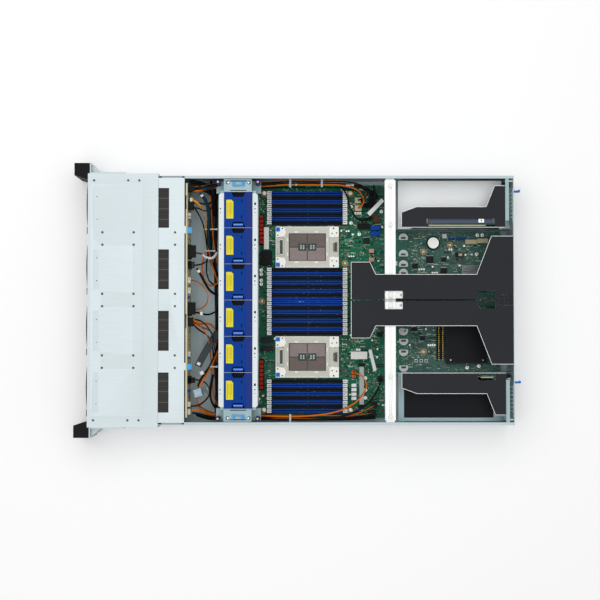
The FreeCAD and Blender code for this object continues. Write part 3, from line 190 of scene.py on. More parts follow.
def boardGroup():
    # solder mask with traces, vias, pads and small unlettered print
    tree, w, given, out = newGroup("boardPattern", (
        ("Position", "Vector", None), ("Mask", "Color", (0.01, 0.1, 0.05, 1)),
        ("Trace", "Color", (0.02, 0.2, 0.1, 1)),
        ("Pad", "Color", (0.6, 0.55, 0.4, 1)), ("Print", "Color", (0.8, 0.8, 0.8, 1)),
        ("Crowd", "Float", 0.5)),
        (("Color", "Color"), ("Height", "Float"), ("Metal", "Float")))
    where = given["Position"]
    cells = w.add("ShaderNodeTexVoronoi", distance="CHEBYCHEV")
    w.join(where, cells.inputs["Vector"])
    cells.inputs["Scale"].default_value = 46
    split = w.add("ShaderNodeSeparateColor")
    w.join(cells.outputs["Color"], split.inputs[0])
    place = w.add("ShaderNodeSeparateXYZ")
    w.join(where, place.inputs[0])
    bend = w.math("MULTIPLY", w.math("SNAP", w.noise(where, 30.0, 0), 0.12), 0.012)
    stripes = []
    for axis in (0, 1):
        wave = w.math("FRACT", w.math("MULTIPLY", w.math("ADD", place.outputs[axis], bend), 560.0))
        stripes.append(w.math("LESS_THAN", wave, 0.42))
    which = w.math("GREATER_THAN", split.outputs[0], 0.5)
    traces = w.math("ADD", w.math("MULTIPLY", stripes[0], which),
                    w.math("MULTIPLY", stripes[1], w.math("SUBTRACT", 1.0, which)))
    routed = w.math("MULTIPLY", traces, w.math("GREATER_THAN", split.outputs[1], 0.45))
    area = w.noise(where, 26.0)
    vias = w.add("ShaderNodeTexVoronoi")
    w.join(where, vias.inputs["Vector"])
    vias.inputs["Scale"].default_value = 300
    dots = w.math("LESS_THAN", vias.outputs["Distance"], 0.2)
    padded = w.math("MULTIPLY", dots, w.math("GREATER_THAN", area, given["Crowd"]))
    parts = w.add("ShaderNodeTexVoronoi", distance="CHEBYCHEV")
    w.join(w.vector("MULTIPLY", where, (1.0, 1.9, 1.0)), parts.inputs["Vector"])
    parts.inputs["Scale"].default_value = 170
    shape = w.math("LESS_THAN", parts.outputs["Distance"], 0.16)
    tint = w.add("ShaderNodeSeparateColor")
    w.join(parts.outputs["Color"], tint.inputs[0])
    marked = w.math("MULTIPLY", shape, w.math("GREATER_THAN", tint.outputs[0], 0.55))
    shade = w.mix(w.math("MULTIPLY", routed, 0.6), given["Mask"], given["Trace"])
    shade = w.mix(w.math("MULTIPLY", marked, 0.7), shade, given["Print"])
    shade = w.mix(w.math("MULTIPLY", padded, 0.9), shade, given["Pad"])
    w.join(shade, out["Color"])
    w.join(w.math("ADD", w.math("MULTIPLY", routed, 0.5), padded), out["Height"])
    w.join(w.math("MULTIPLY", padded, 0.8), out["Metal"])
    return tree


def dotGroup():
    # a square grid of round dots, as a land array or a perforated sheet has
    tree, w, given, out = newGroup("dotGrid", (
        ("Position", "Vector", None), ("Pitch", "Float", 0.001), ("Radius", "Float", 0.3),
        ("Base", "Color", (0, 0, 0, 1)), ("Dot", "Color", (1, 1, 1, 1))),
        (("Color", "Color"), ("Height", "Float")))
    place = w.add("ShaderNodeSeparateXYZ")
    w.join(given["Position"], place.inputs[0])
    squares = []
    for axis in (0, 1):
        cell = w.math("FRACT", w.math("DIVIDE", place.outputs[axis], given["Pitch"]))
        squares.append(w.math("POWER", w.math("SUBTRACT", cell, 0.5), 2.0))
    distance = w.math("SQRT", w.math("ADD", squares[0], squares[1]))
    dot = w.math("LESS_THAN", distance, given["Radius"])
    w.join(w.mix(dot, given["Base"], given["Dot"]), out["Color"])
    w.join(dot, out["Height"])
    return tree


surfaceGrain = grainGroup()
brushedLines = brushGroup()
boardPattern = boardGroup()
dotGrid = dotGroup()

finishes = {
    # name: colour, roughness, metal, grain size, grain depth, mottle, marks, edge wear, brushed axis or None
    "coverSteel": (ink(203, 214, 217), 0.50, 0.25, 1600, 0.10, 0.05, 0.05, 0.2, "Y"),
    "chassisSteel": (ink(172, 184, 188), 0.46, 0.40, 1600, 0.12, 0.10, 0.08, 0.3, "Y"),
    "floorSteel": (ink(170, 186, 191), 0.48, 0.20, 1600, 0.12, 0.12, 0.08, 0.2, "X"),
    "bayPale": (ink(238, 240, 240), 0.42, 0.10, 1600, 0.10, 0.06, 0.04, 0.2, "Y"),
    "bracketSteel": (ink(140, 164, 168), 0.46, 0.40, 1600, 0.12, 0.10, 0.08, 0.5, "X"),
    "cageSteel": (ink(150, 160, 164), 0.46, 0.40, 1400, 0.12, 0.08, 0.08, 0.3, "Y"),
    "paleRail": (ink(214, 223, 224), 0.48, 0.15, 1500, 0.08, 0.04, 0.04, 0.2, "X"),
    "barSteel": (ink(238, 240, 240), 0.40, 0.20, 1500, 0.10, 0.06, 0.06, 0.4, "X"),
    "brightSteel": (ink(214, 217, 216), 0.30, 0.70, 1800, 0.05, 0.05, 0.10, 0.2, None),
    # painted highlight: the bright lines and bevels along edges
    "paintedEdgeHighlight": (ink(205, 208, 206), 0.34, 0.50, 1800, 0.05, 0.05, 0.10, 0.0, None),
    "screwSteel": (ink(188, 188, 182), 0.32, 0.70, 1800, 0.05, 0.06, 0.10, 0.3, None),
    "rivetDark": (ink(70, 72, 72), 0.45, 0.50, 1800, 0.05, 0.06, 0.10, 0.2, None),
    "nickel": (ink(168, 168, 158), 0.40, 0.45, 1600, 0.08, 0.10, 0.12, 0.6, "Y"),
    "wingWhite": (ink(222, 222, 216), 0.42, 0.30, 1600, 0.08, 0.06, 0.08, 0.2, None),
    "blackPlastic": (ink(24, 24, 25), 0.55, 0.0, 1400, 0.30, 0.10, 0.08, 0.1, None),
    "capBlack": (ink(22, 22, 23), 0.50, 0.0, 1500, 0.40, 0.10, 0.06, 0.1, None),
    "darkGrey": (ink(52, 54, 57), 0.55, 0.0, 1400, 0.30, 0.10, 0.08, 0.1, None),
    "riserBlack": (ink(44, 46, 50), 0.60, 0.0, 1900, 0.45, 0.12, 0.06, 0.2, None),
    "sheetBlack": (ink(26, 27, 32), 0.42, 0.0, 1500, 0.20, 0.14, 0.06, 0.1, None),
    "fanBlue": (ink(2, 62, 152), 0.42, 0.0, 1300, 0.18, 0.08, 0.05, 0.15, None),
    "fanBlueDark": (ink(36, 58, 138), 0.46, 0.0, 1300, 0.18, 0.08, 0.05, 0.1, None),
    "tabBlue": (ink(20, 62, 170), 0.22, 0.0, 1300, 0.05, 0.06, 0.02, 0.1, None),
    # painted highlight on the glossy tab
    "tabPaintedHighlight": (ink(120, 166, 240), 0.22, 0.0, 1300, 0.05, 0.06, 0.02, 0.1, None),
    # painted shade in the recesses and notches of the fan modules
    "recessNavy": (ink(6, 9, 22), 0.50, 0.0, 1300, 0.20, 0.10, 0.02, 0.0, None),
    "slotBlue": (ink(6, 66, 168), 0.36, 0.0, 1300, 0.15, 0.08, 0.04, 0.1, None),
    "slotBlack": (ink(16, 22, 34), 0.42, 0.0, 1300, 0.18, 0.08, 0.05, 0.15, None),
    "latchWhite": (ink(238, 241, 241), 0.40, 0.0, 1300, 0.12, 0.04, 0.03, 0.0, None),
    "connectorWhite": (ink(224, 220, 206), 0.45, 0.0, 1300, 0.15, 0.06, 0.04, 0.0, None),
    "connectorCream": (ink(206, 194, 156), 0.45, 0.0, 1300, 0.15, 0.06, 0.04, 0.0, None),
    "latchBlue": (ink(84, 176, 240), 0.32, 0.0, 1300, 0.12, 0.06, 0.03, 0.0, None),
    "leverBlue": (ink(28, 132, 224), 0.34, 0.0, 1300, 0.12, 0.06, 0.03, 0.0, None),
    "clipBlue": (ink(10, 124, 232), 0.34, 0.0, 1300, 0.12, 0.06, 0.03, 0.0, None),
    "plungerBlue": (ink(22, 44, 122), 0.38, 0.0, 1300, 0.15, 0.08, 0.05, 0.1, None),
    "brass": (ink(198, 164, 96), 0.32, 0.80, 1500, 0.08, 0.08, 0.10, 0.0, None),
    "gold": (ink(222, 186, 104), 0.30, 0.80, 1500, 0.05, 0.06, 0.06, 0.0, None),
    "chipBlack": (ink(34, 36, 38), 0.48, 0.0, 2200, 0.30, 0.08, 0.04, 0.0, None),
    "chipGrey": (ink(88, 92, 92), 0.50, 0.0, 2200, 0.30, 0.08, 0.04, 0.0, None),
    "pinSilver": (ink(190, 190, 184), 0.35, 0.60, 1800, 0.05, 0.06, 0.04, 0.0, None),
    "tanPart": (ink(168, 140, 104), 0.48, 0.0, 2200, 0.20, 0.08, 0.04, 0.0, None),
    "heatSinkGrey": (ink(132, 140, 140), 0.38, 0.60, 1500, 0.10, 0.08, 0.08, 0.3, None),
    "windowGrey": (ink(84, 96, 116), 0.40, 0.0, 1500, 0.12, 0.06, 0.04, 0.0, "Y"),
    "slotGrey": (ink(178, 184, 182), 0.42, 0.0, 1500, 0.10, 0.06, 0.04, 0.0, None),
    "capacitorCan": (ink(216, 216, 214), 0.34, 0.45, 1500, 0.06, 0.05, 0.06, 0.0, None),
    "batterySteel": (ink(236, 236, 230), 0.34, 0.30, 1500, 0.06, 0.05, 0.08, 0.0, None),
    "redMark": (ink(206, 44, 40), 0.42, 0.0, 1500, 0.10, 0.05, 0.02, 0.0, None),
    "cyanMark": (ink(72, 190, 220), 0.38, 0.0, 1500, 0.10, 0.05, 0.02, 0.0, None),
    "amber": (ink(214, 92, 34), 0.42, 0.0, 1500, 0.12, 0.05, 0.03, 0.0, None),
    "amberPale": (ink(222, 160, 60), 0.42, 0.0, 1500, 0.12, 0.05, 0.03, 0.0, None),
    "saltPink": (ink(206, 160, 138), 0.45, 0.0, 1500, 0.12, 0.05, 0.03, 0.0, None),
    "brownConnector": (ink(86, 54, 34), 0.46, 0.0, 1400, 0.15, 0.06, 0.04, 0.0, None),
    "headerRed": (ink(178, 48, 36), 0.46, 0.0, 1400, 0.15, 0.06, 0.04, 0.0, None),
    "labelWhite": (ink(236, 236, 232), 0.60, 0.0, 1500, 0.10, 0.04, 0.02, 0.0, None),
    "labelYellow": (ink(248, 232, 56), 0.55, 0.0, 1500, 0.10, 0.04, 0.02, 0.0, None),
    "labelInk": (ink(96, 92, 60), 0.60, 0.0, 1500, 0.10, 0.04, 0.02, 0.0, None),
    "labelGrey": (ink(150, 150, 148), 0.60, 0.0, 1500, 0.10, 0.04, 0.02, 0.0, None),
    "wireAmber": (ink(246, 160, 24), 0.42, 0.0, 1500, 0.10, 0.10, 0.04, 0.0, None),
    "wireOrange": (ink(226, 118, 14), 0.42, 0.0, 1500, 0.10, 0.10, 0.04, 0.0, None),
    "wireRust": (ink(178, 84, 22), 0.42, 0.0, 1500, 0.10, 0.10, 0.04, 0.0, None),
    "wireBlack": (ink(24, 24, 26), 0.46, 0.0, 1500, 0.15, 0.08, 0.05, 0.0, None),
    "wireTeal": (ink(20, 52, 64), 0.42, 0.0, 1500, 0.12, 0.08, 0.04, 0.0, None),
    "ribbonGrey": (ink(66, 74, 78), 0.46, 0.0, 1500, 0.12, 0.08, 0.04, 0.0, "Y"),
    "sleeveWhite": (ink(226, 226, 228), 0.50, 0.0, 1500, 0.12, 0.05, 0.04, 0.0, None),
    "tieWhite": (ink(190, 202, 206), 0.45, 0.0, 1500, 0.12, 0.05, 0.04, 0.0, None),
    "plugSilver": (ink(140, 158, 172), 0.36, 0.40, 1500, 0.12, 0.08, 0.06, 0.2, "X"),
    "drivePlate": (ink(62, 60, 56), 0.45, 0.0, 1600, 0.10, 0.25, 0.06, 0.1, "X"),
    "driveSide": (ink(92, 92, 88), 0.45, 0.1, 1600, 0.10, 0.10, 0.06, 0.1, "Y"),
    "lampGreen": (ink(70, 180, 90), 0.30, 0.0, 1500, 0.02, 0.05, 0.02, 0.0, None),
    "buttonGrey": (ink(150, 156, 160), 0.38, 0.1, 1500, 0.10, 0.05, 0.05, 0.1, None),
    # painted shade: the dark inside holes, slots, recesses and gaps
    "paintedHoleShade": (ink(12, 12, 13), 0.65, 0.0, 1500, 0.10, 0.05, 0.00, 0.0, None),
}
boards = {
    # name: solder mask, trace, pad, print, crowding of the pads
    "boardGreen": (ink(10, 100, 72), ink(30, 126, 96), ink(196, 196, 164), ink(170, 196, 184), 0.50),
    "boardGrey": (ink(62, 104, 94), ink(92, 130, 120), ink(184, 188, 172), ink(206, 214, 206), 0.45),
    "boardCream": (ink(222, 214, 176), ink(200, 190, 150), ink(206, 198, 160), ink(226, 222, 200), 0.60),
    "boardShade": (ink(66, 92, 84), ink(84, 108, 100), ink(180, 178, 160), ink(200, 206, 200), 0.50),
}
dotted = {
    # name: pitch, dot radius in pitches, base, dot
    "landDark": (1.0*mm, 0.32, ink(104, 94, 90), ink(138, 126, 120)),
    # the same lands with a painted sheen
    "landPaintedSheen": (1.0*mm, 0.32, ink(138, 124, 124), ink(176, 160, 158)),
}
brushing = {"X": (0.02, 1.0, 1.0), "Y": (1.0, 0.02, 1.0)}
boardFade = (0.50, 0.60)  # metres from the front
gloss = {"bright": 0.35, "board": 0.12, "dark": 0.08}
made = {}


def plainSurface(w, shader, bump, where, name):
    colour, rough, metal, grainSize, depth, mottle, marks, wear, brushed = finishes[name]
    grain = w.add("ShaderNodeGroup", node_tree=surfaceGrain)
    for label, value in (("Base", colour), ("Rough", rough), ("Grain Size", grainSize),
                         ("Grain Depth", depth),
                         ("Mottle", mottle), ("Marks", marks), ("Edge Wear", wear), ("Position", where)):
        w.feed(grain.inputs[label], value)
    shader.inputs["Metallic"].default_value = metal
    w.join(grain.outputs["Roughness"], shader.inputs["Roughness"])
    height, shade = grain.outputs["Height"], grain.outputs["Color"]
    if brushed:
        lines = w.add("ShaderNodeGroup", node_tree=brushedLines)
        lines.inputs["Along"].default_value = brushing[brushed]
        lines.inputs["Depth"].default_value = 0.25
        w.join(where, lines.inputs["Position"])
        height = w.math("ADD", height, lines.outputs["Height"])
        tone = w.math("ADD", 0.97, w.math("MULTIPLY", lines.outputs["Tone"], 0.06))
        shade = w.mix(1.0, shade, w.grey(tone), "MULTIPLY")
    w.join(shade, shader.inputs["Base Color"])
    w.join(height, bump.inputs["Height"])
    bump.inputs["Strength"].default_value = 0.35


def boardSurface(w, shader, bump, where, name):
    pattern = w.add("ShaderNodeGroup", node_tree=boardPattern)
    for label, value in zip(("Mask", "Trace", "Pad", "Print", "Crowd"), boards[name]):
        pattern.inputs[label].default_value = value
    w.join(where, pattern.inputs["Position"])
    if name == "boardGreen":
        # the main board turns greyer towards the rear
        place = w.add("ShaderNodeSeparateXYZ")
        w.join(where, place.inputs[0])
        rear = w.ramp(place.outputs[1], *boardFade)
        for k, label in enumerate(("Mask", "Trace")):
            w.join(w.mix(rear, boards[name][k], boards["boardGrey"][k]), pattern.inputs[label])
    w.join(pattern.outputs["Color"], shader.inputs["Base Color"])
    w.join(pattern.outputs["Metal"], shader.inputs["Metallic"])
    w.join(pattern.outputs["Height"], bump.inputs["Height"])
    bump.inputs["Strength"].default_value = 0.4
    shader.inputs["Roughness"].default_value = 0.42


def dottedSurface(w, shader, bump, where, name):
    grid = w.add("ShaderNodeGroup", node_tree=dotGrid)
    for label, value in zip(("Pitch", "Radius", "Base", "Dot"), dotted[name]):
        grid.inputs[label].default_value = value
    w.join(where, grid.inputs["Position"])
    cloud = w.ramp(w.noise(where, 60.0), 0.2, 0.8)
    tone = w.math("ADD", 0.9, w.math("MULTIPLY", cloud, 0.2))
    w.join(w.mix(1.0, grid.outputs["Color"], w.grey(tone), "MULTIPLY"), shader.inputs["Base Color"])
    w.join(grid.outputs["Height"], bump.inputs["Height"])
    bump.inputs["Strength"].default_value = 0.3
    shader.inputs["Roughness"].default_value = 0.45


def glossOf(name):
    # dark and strongly coloured plastics mirror little of the pale room
    if name not in finishes:
        return gloss["board"]
    colour, metal = finishes[name][0], finishes[name][2]
    return gloss["bright"] if metal > 0.1 or min(colour[:3]) > 0.35 else gloss["dark"]


def finish(name):
    if name in made:
        return made[name]
    material = bpy.data.materials.new(name)
    material.use_nodes = True
    w = Wiring(material.node_tree)
    shader = material.node_tree.nodes["Principled BSDF"]
    shader.inputs["Specular IOR Level"].default_value = glossOf(name)
    bump = w.add("ShaderNodeBump")
    bump.inputs["Distance"].default_value = 0.2*mm
    w.join(bump.outputs[0], shader.inputs["Normal"])
    where = w.add("ShaderNodeTexCoord").outputs["Object"]
    if name in boards:
        boardSurface(w, shader, bump, where, name)
    elif name in dotted:
        dottedSurface(w, shader, bump, where, name)
    else:
        plainSurface(w, shader, bump, where, name)
    made[name] = material
    return material

# Making pieces

class Shape:
    # one mesh put together from plain forms in millimetres, each with its own finish
    def __init__(self):
        self.mesh = bmesh.new()
        self.finishes = []

    def slot(self, finishName):
        if finishName not in self.finishes:
            self.finishes.append(finishName)
        return self.finishes.index(finishName)

    def prism(self, outline, low, high, finishName, axis="Z", top=None):
        # an outline in the plane across the axis, from low to high, narrowed to top if that is given
        def corner(a, b, c):
            return {"Z": (a, b, c), "Y": (a, c, b), "X": (c, a, b)}[axis]
        ends = outline if top is None else top
        first = [self.mesh.verts.new(Vector(corner(a, b, low))*mm) for a, b in outline]
        last = [self.mesh.verts.new(Vector(corner(a, b, high))*mm) for a, b in ends]
        faces = [self.mesh.faces.new(first[::-1]), self.mesh.faces.new(last)]
        count = len(outline)
        for i in range(count):
            j = (i + 1) % count
            faces.append(self.mesh.faces.new((first[i], first[j], last[j], last[i])))
        area = sum(outline[i][0]*outline[(i + 1) % count][1] - outline[(i + 1) % count][0]*outline[i][1]
                   for i in range(count))
        if (area < 0) != (axis == "Y"):
            for face in faces:
                face.normal_flip()
        for face in faces:
            face.material_index = self.slot(finishName)

    def box(self, x, y, z, finishName, turn=0.0, inset=0.0):
        # inset narrows the top
        middle = ((x[0] + x[1])/2, (y[0] + y[1])/2)
        wide, deep = (x[1] - x[0])/2, (y[1] - y[0])/2

        def ring(shrink):
            c, s = math.cos(turn), math.sin(turn)
            corners = ((-1, -1), (1, -1), (1, 1), (-1, 1))
            return [(middle[0] + a*(wide - shrink)*c - b*(deep - shrink)*s,
                     middle[1] + a*(wide - shrink)*s + b*(deep - shrink)*c) for a, b in corners]
        self.prism(ring(0), z[0], z[1], finishName, top=ring(inset))

    def block(self, x, y, wide, deep, z, high, finishName, turn=0.0, inset=0.0):
        self.box((x - wide/2, x + wide/2), (y - deep/2, y + deep/2), (z, z + high), finishName, turn, inset)

    def rod(self, centre, radius, low, high, finishName, axis="Z", sides=16, top=None):
        def ring(size):
            return [(centre[0] + size*math.cos(2*math.pi*i/sides),
                     centre[1] + size*math.sin(2*math.pi*i/sides))
                    for i in range(sides)]
        self.prism(ring(radius), low, high, finishName, axis, ring(radius if top is None else top))

    def screw(self, x, y, z, radius, high, finishName="screwSteel", turn=0.4):
        # a pan head with a cross recess, the recess drawn dark as painted shade
        self.rod((x, y), radius, z, z + high*0.6, finishName, sides=18)
        self.rod((x, y), radius, z + high*0.6, z + high, finishName, sides=18, top=radius*0.7)
        for angle in (turn, turn + math.pi/2):
            self.block(x, y, radius*0.95, radius*0.24, z + high, 0.06, "paintedHoleShade", angle)

    def piece(self, name, node, bevel=0.0, angle=32, replaces=False):
        # rides on the body of the node that it belongs to
        return finishMesh(name, self.mesh, self.finishes, node, bevel, angle, replaces)


def finishMesh(name, mesh, finishNames, node, bevel=0.0, angle=32, replaces=True, highlightFinish=None):
    data = bpy.data.meshes.new(name)
    mesh.to_mesh(data)
    mesh.free()
    for finishName in finishNames:
        data.materials.append(finish(finishName))
    for polygon in data.polygons:
        polygon.use_smooth = True
    data.set_sharp_from_angle(angle=math.radians(angle))
    thing = bpy.data.objects.new(name, data)
    bpy.context.scene.collection.objects.link(thing)
    if bevel:
        edge = thing.modifiers.new("edge", "BEVEL")
        edge.width = bevel*mm
        edge.segments = 1 if highlightFinish else 2
        edge.limit_method = "ANGLE"
        edge.angle_limit = math.radians(40)
        # the bevels take the edge finish, a painted highlight
        if highlightFinish:
            data.materials.append(finish(highlightFinish))
            edge.material = len(finishNames)
    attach(thing, bodyOf[node])
    if replaces:
        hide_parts(node)
    return thing


class Solid:
    # one closed solid of a node: its corners and faces, and its box in millimetres
    def __init__(self, faces):
        order = {}
        self.faces = [[order.setdefault(vert, len(order)) for vert in face.verts] for face in faces]
        self.corners = [vert.co.copy() for vert in order]
        self.low = [min(c[i] for c in self.corners)/mm for i in range(3)]
        self.high = [max(c[i] for c in self.corners)/mm for i in range(3)]
        self.centre = [(a + b)/2 for a, b in zip(self.low, self.high)]
        self.size = [b - a for a, b in zip(self.low, self.high)]


def solidsOf(node):
    mesh = bmesh.new()
    mesh.from_mesh(frame["nodes"][node].data)
    bmesh.ops.remove_doubles(mesh, verts=mesh.verts[:], dist=2e-6)
    seen, found = set(), []
    for first in mesh.faces:
        if first in seen:
            continue
        stack, faces = [first], []
        seen.add(first)
        while stack:
            face = stack.pop()
            faces.append(face)
            for edge in face.edges:
                if len(edge.link_faces) == 2:
                    for other in edge.link_faces:
                        if other not in seen:
                            seen.add(other)
                            stack.append(other)
        found.append(Solid(faces))
    mesh.free()
    return found


def buildSolids(name, solids, finishName, node, bevel=0.25, paint=(), highlightFinish=None):
    # paint gives other finishes to the faces that its tests take, by place and normal
    mesh = bmesh.new()
    names = [finishName] + [other for other, test in paint]
    for solid in solids:
        part = bmesh.new()
        corners = [part.verts.new(c) for c in solid.corners]
        for face in solid.faces:
            part.faces.new([corners[i] for i in face])
        bmesh.ops.dissolve_limit(part, angle_limit=math.radians(0.5), verts=part.verts[:],
                                 edges=part.edges[:])
        for face in part.faces:
            centre = face.calc_center_median()/mm
            for index, (other, test) in enumerate(paint, start=1):
                if test(centre, face.normal, solid):
                    face.material_index = index
        copied = bpy.data.meshes.new("part")
        part.to_mesh(copied)
        part.free()
        mesh.from_mesh(copied)
        bpy.data.meshes.remove(copied)
    return finishMesh(name, mesh, names, node, bevel, highlightFinish=highlightFinish)


def dress(node, rules, default, bevel=0.25, paint=(), edges=None):
    # every solid of a node goes to the first rule that takes it
    groups = {}
    for solid in solidsOf(node):
        chosen = next((finishName for finishName, test in rules if test(solid)), default)
        groups.setdefault(chosen, []).append(solid)
    for finishName, solids in groups.items():
        if finishName is not None:
            # edges gives the finish of a finish's bevels, a painted highlight along them
            edge = (edges or {}).get(finishName)
            buildSolids(f"{node}.{finishName}", solids, finishName, node, bevel, paint, edge)
    return groups


def small(size):
    return lambda solid: max(solid.size) < size


def inside(*spans):
    # the solid's centre lies in every span, for X, Y and, if it is given, Z
    return lambda s: all(first <= value <= last for (first, last), value in zip(spans, s.centre))


def repeatTree():
    # puts a shape on every point, with the point's own turn and scale
    tree = bpy.data.node_groups.new("repeatOnPoints", "GeometryNodeTree")
    for label, kind in (("Points", "Geometry"), ("Shape", "Object"), ("Finish", "Material"),
                        ("Size", "Float")):
        tree.interface.new_socket(name=label, in_out="INPUT", socket_type="NodeSocket" + kind)
    tree.interface.new_socket(name="Geometry", in_out="OUTPUT", socket_type="NodeSocketGeometry")
    w = Wiring(tree)
    given, out = w.add("NodeGroupInput").outputs, w.add("NodeGroupOutput").inputs
    shape = w.add("GeometryNodeObjectInfo")
    w.join(given["Shape"], shape.inputs["Object"])
    turn = w.add("GeometryNodeInputNamedAttribute", data_type="FLOAT_VECTOR")
    turn.inputs["Name"].default_value = "turn"
    size = w.add("GeometryNodeInputNamedAttribute", data_type="FLOAT_VECTOR")
    size.inputs["Name"].default_value = "size"
    scaled = w.add("ShaderNodeVectorMath", operation="SCALE")
    w.join(size.outputs["Attribute"], scaled.inputs[0])
    w.join(given["Size"], scaled.inputs["Scale"])
    place = w.add("GeometryNodeInstanceOnPoints")
    w.join(given["Points"], place.inputs["Points"])
    w.join(shape.outputs["Geometry"], place.inputs["Instance"])
    w.join(turn.outputs["Attribute"], place.inputs["Rotation"])
    w.join(scaled.outputs[0], place.inputs["Scale"])
    real = w.add("GeometryNodeRealizeInstances")
    w.join(place.outputs["Instances"], real.inputs["Geometry"])
    paint = w.add("GeometryNodeSetMaterial")
    w.join(real.outputs[0], paint.inputs["Geometry"])
    w.join(given["Finish"], paint.inputs["Material"])
    w.join(paint.outputs[0], out["Geometry"])
    return tree


repeatOnPoints = repeatTree()


def unitShape(kind):
    # the small forms that repeat, one unit across, standing on their origin
    shape = Shape()
    k = 1/mm
    if kind == "brick":
        shape.box((-0.5*k, 0.5*k), (-0.5*k, 0.5*k), (0, k), "chipBlack", inset=0.04*k)
    elif kind == "disc":
        shape.rod((0, 0), 0.5*k, 0, k, "chipBlack", sides=12)
    elif kind == "dome":
        shape.rod((0, 0), 0.5*k, 0, 0.6*k, "chipBlack", sides=12)
        shape.rod((0, 0), 0.5*k, 0.6*k, k, "chipBlack", sides=12, top=0.3*k)
    elif kind == "halfDisc":
        arc = [(0.5*k*math.cos(math.pi*i/8), 0.5*k*math.sin(math.pi*i/8)) for i in range(9)]
        shape.prism(arc, 0, k, "chipBlack")
    data = bpy.data.meshes.new(kind)
    shape.mesh.to_mesh(data)
    shape.mesh.free()
    return bpy.data.objects.new(kind, data)


unitShapes = {kind: unitShape(kind) for kind in ("brick", "disc", "dome", "halfDisc")}


def plainPiece(name, source, node, angle, finishName=None):
    # the evaluated source as a plain mesh that rides on the node's body
    bpy.context.view_layer.update()
    plain = bpy.data.meshes.new_from_object(source.evaluated_get(bpy.context.evaluated_depsgraph_get()))
    source.modifiers.clear()
    bpy.data.objects.remove(source)
    plain.name = name
    if finishName:
        plain.materials.clear()
        plain.materials.append(finish(finishName))
    for polygon in plain.polygons:
        polygon.use_smooth = True
    plain.set_sharp_from_angle(angle=math.radians(angle))
    thing = bpy.data.objects.new(name, plain)
    bpy.context.scene.collection.objects.link(thing)
    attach(thing, bodyOf[node])
    return thing


def repeat(name, kind, places, finishName, node):
    # places: (x, y, z), (wide, deep, high) and a turn about Z, or a whole turn
    if not places:
        return None
    data = bpy.data.meshes.new(name + "Points")
    data.from_pydata([Vector(place)*mm for place, size, turn in places], [], [])
    turns = data.attributes.new("turn", "FLOAT_VECTOR", "POINT")
    sizes = data.attributes.new("size", "FLOAT_VECTOR", "POINT")
    for i, (place, size, turn) in enumerate(places):
        turns.data[i].vector = turn if isinstance(turn, tuple) else (0, 0, turn)
        sizes.data[i].vector = size
    holder = bpy.data.objects.new(name + "Holder", data)
    bpy.context.scene.collection.objects.link(holder)
    nodes = holder.modifiers.new("repeat", "NODES")
    nodes.node_group = repeatOnPoints
    items = repeatOnPoints.interface.items_tree
    sockets = {item.name: item.identifier for item in items if item.in_out == "INPUT"}
    nodes[sockets["Shape"]] = unitShapes[kind]
    nodes[sockets["Finish"]] = finish(finishName)
    nodes[sockets["Size"]] = mm
    return plainPiece(name, holder, node, 32)


def wires(name, routes, radius, finishName, node, sides=2):
    # round wires along smooth lines, each from its own list of points
    curve = bpy.data.curves.new(name + "Line", "CURVE")
    curve.dimensions = "3D"
    curve.bevel_depth = radius*mm
    curve.bevel_resolution = sides
    curve.resolution_u = 5
    curve.use_fill_caps = True
    for route in routes:
        spline = curve.splines.new("NURBS")
        spline.points.add(len(route) - 1)
        for point, place in zip(spline.points, route):
            point.co = (*(Vector(place)*mm), 1)
        spline.order_u = 3
        spline.use_endpoint_u = True
    line = bpy.data.objects.new(name + "Line", curve)
    bpy.context.scene.collection.objects.link(line)
    return plainPiece(name, line, node, 50, finishName)


def strand(route, count, spread, seed, flat=1.0):
    # the same route for several wires that lie beside and over each other
    chance = random.Random(seed)
    routes = []
    for k in range(count):
        angle = 2.4*k + 0.3*chance.random()
        reach = spread*math.sqrt((k + 0.3)/count)
        shift = Vector((reach*math.cos(angle), reach*math.cos(angle)*0.35, reach*math.sin(angle)*flat))
        routes.append([Vector(p) + shift + Vector([spread*0.3*(chance.random() - 0.5) for axis in range(3)])
                       for p in route])
    return routes

# Chassis, covers and ears

cover = {
    "rivetMost": 5, "markBehind": 20, "markAside": 205,  # the dark marks lie behind or outside these
    "socketRow": (14, 18), "socketWide": 2.0, "socketDeep": 0.04,
}
shell = {
    "screwMost": 12, "sheetMost": 2, "earScrewMost": 5, "lampMost": 3,
    "middleBay": ((-120, -18), (720, 748), (0, 24)), "shelfLeftOf": -150, "shelfWide": 80,
}
cap = {
    "panel": ((213.9, -3.2), (219.3, -21.0), (220.0, -21.0), (214.6, -3.2)), "panelZ": (8, 79),
    "ribX": (222.6, 240.3), "ribY": -23.5, "ribLow": 12, "rib": (0.9, 0.5, 60),
}
pressing = {
    "lineY": (186, 197, 212, 226), "lineAside": 205, "lineWide": 0.8, "lineZ": (1.2, 1.45),
    "bossX": (-150, -52, 76, 158), "bossY": 205, "bossRadius": (8, 7.4), "bossZ": (1.2, 1.5),
    "rivetRadius": (2.2, 1.6), "rivetZ": (1.5, 2.2),
    "wallAside": 217.75, "wallY": (190, 300, 520, 700), "wallZ": (18, 66), "wallRivet": (3.6, 3.6, 0.7),
}


def dressCovers():
    isRivet = small(cover["rivetMost"])

    def isMark(s):
        return isRivet(s) and (s.centre[1] > cover["markBehind"] or abs(s.centre[0]) > cover["markAside"])
    dress("front_cover", [("rivetDark", isMark), ("screwSteel", isRivet)], "coverSteel", 0.12)
    dress("vent_cover", [("rivetDark", isRivet)], "coverSteel", 0.12)
    # recessed sockets on the small screws of the strips, drawn as dark discs of painted shade
    first, last = cover["socketRow"]
    size = (cover["socketWide"], cover["socketWide"], cover["socketDeep"])
    sockets = [((*s.centre[:2], s.high[2]), size, 0) for s in solidsOf("front_cover")
               if isRivet(s) and first < s.centre[1] < last]
    repeat("coverScrewSockets", "disc", sockets, "paintedHoleShade", "front_cover")
    print("covers dressed")


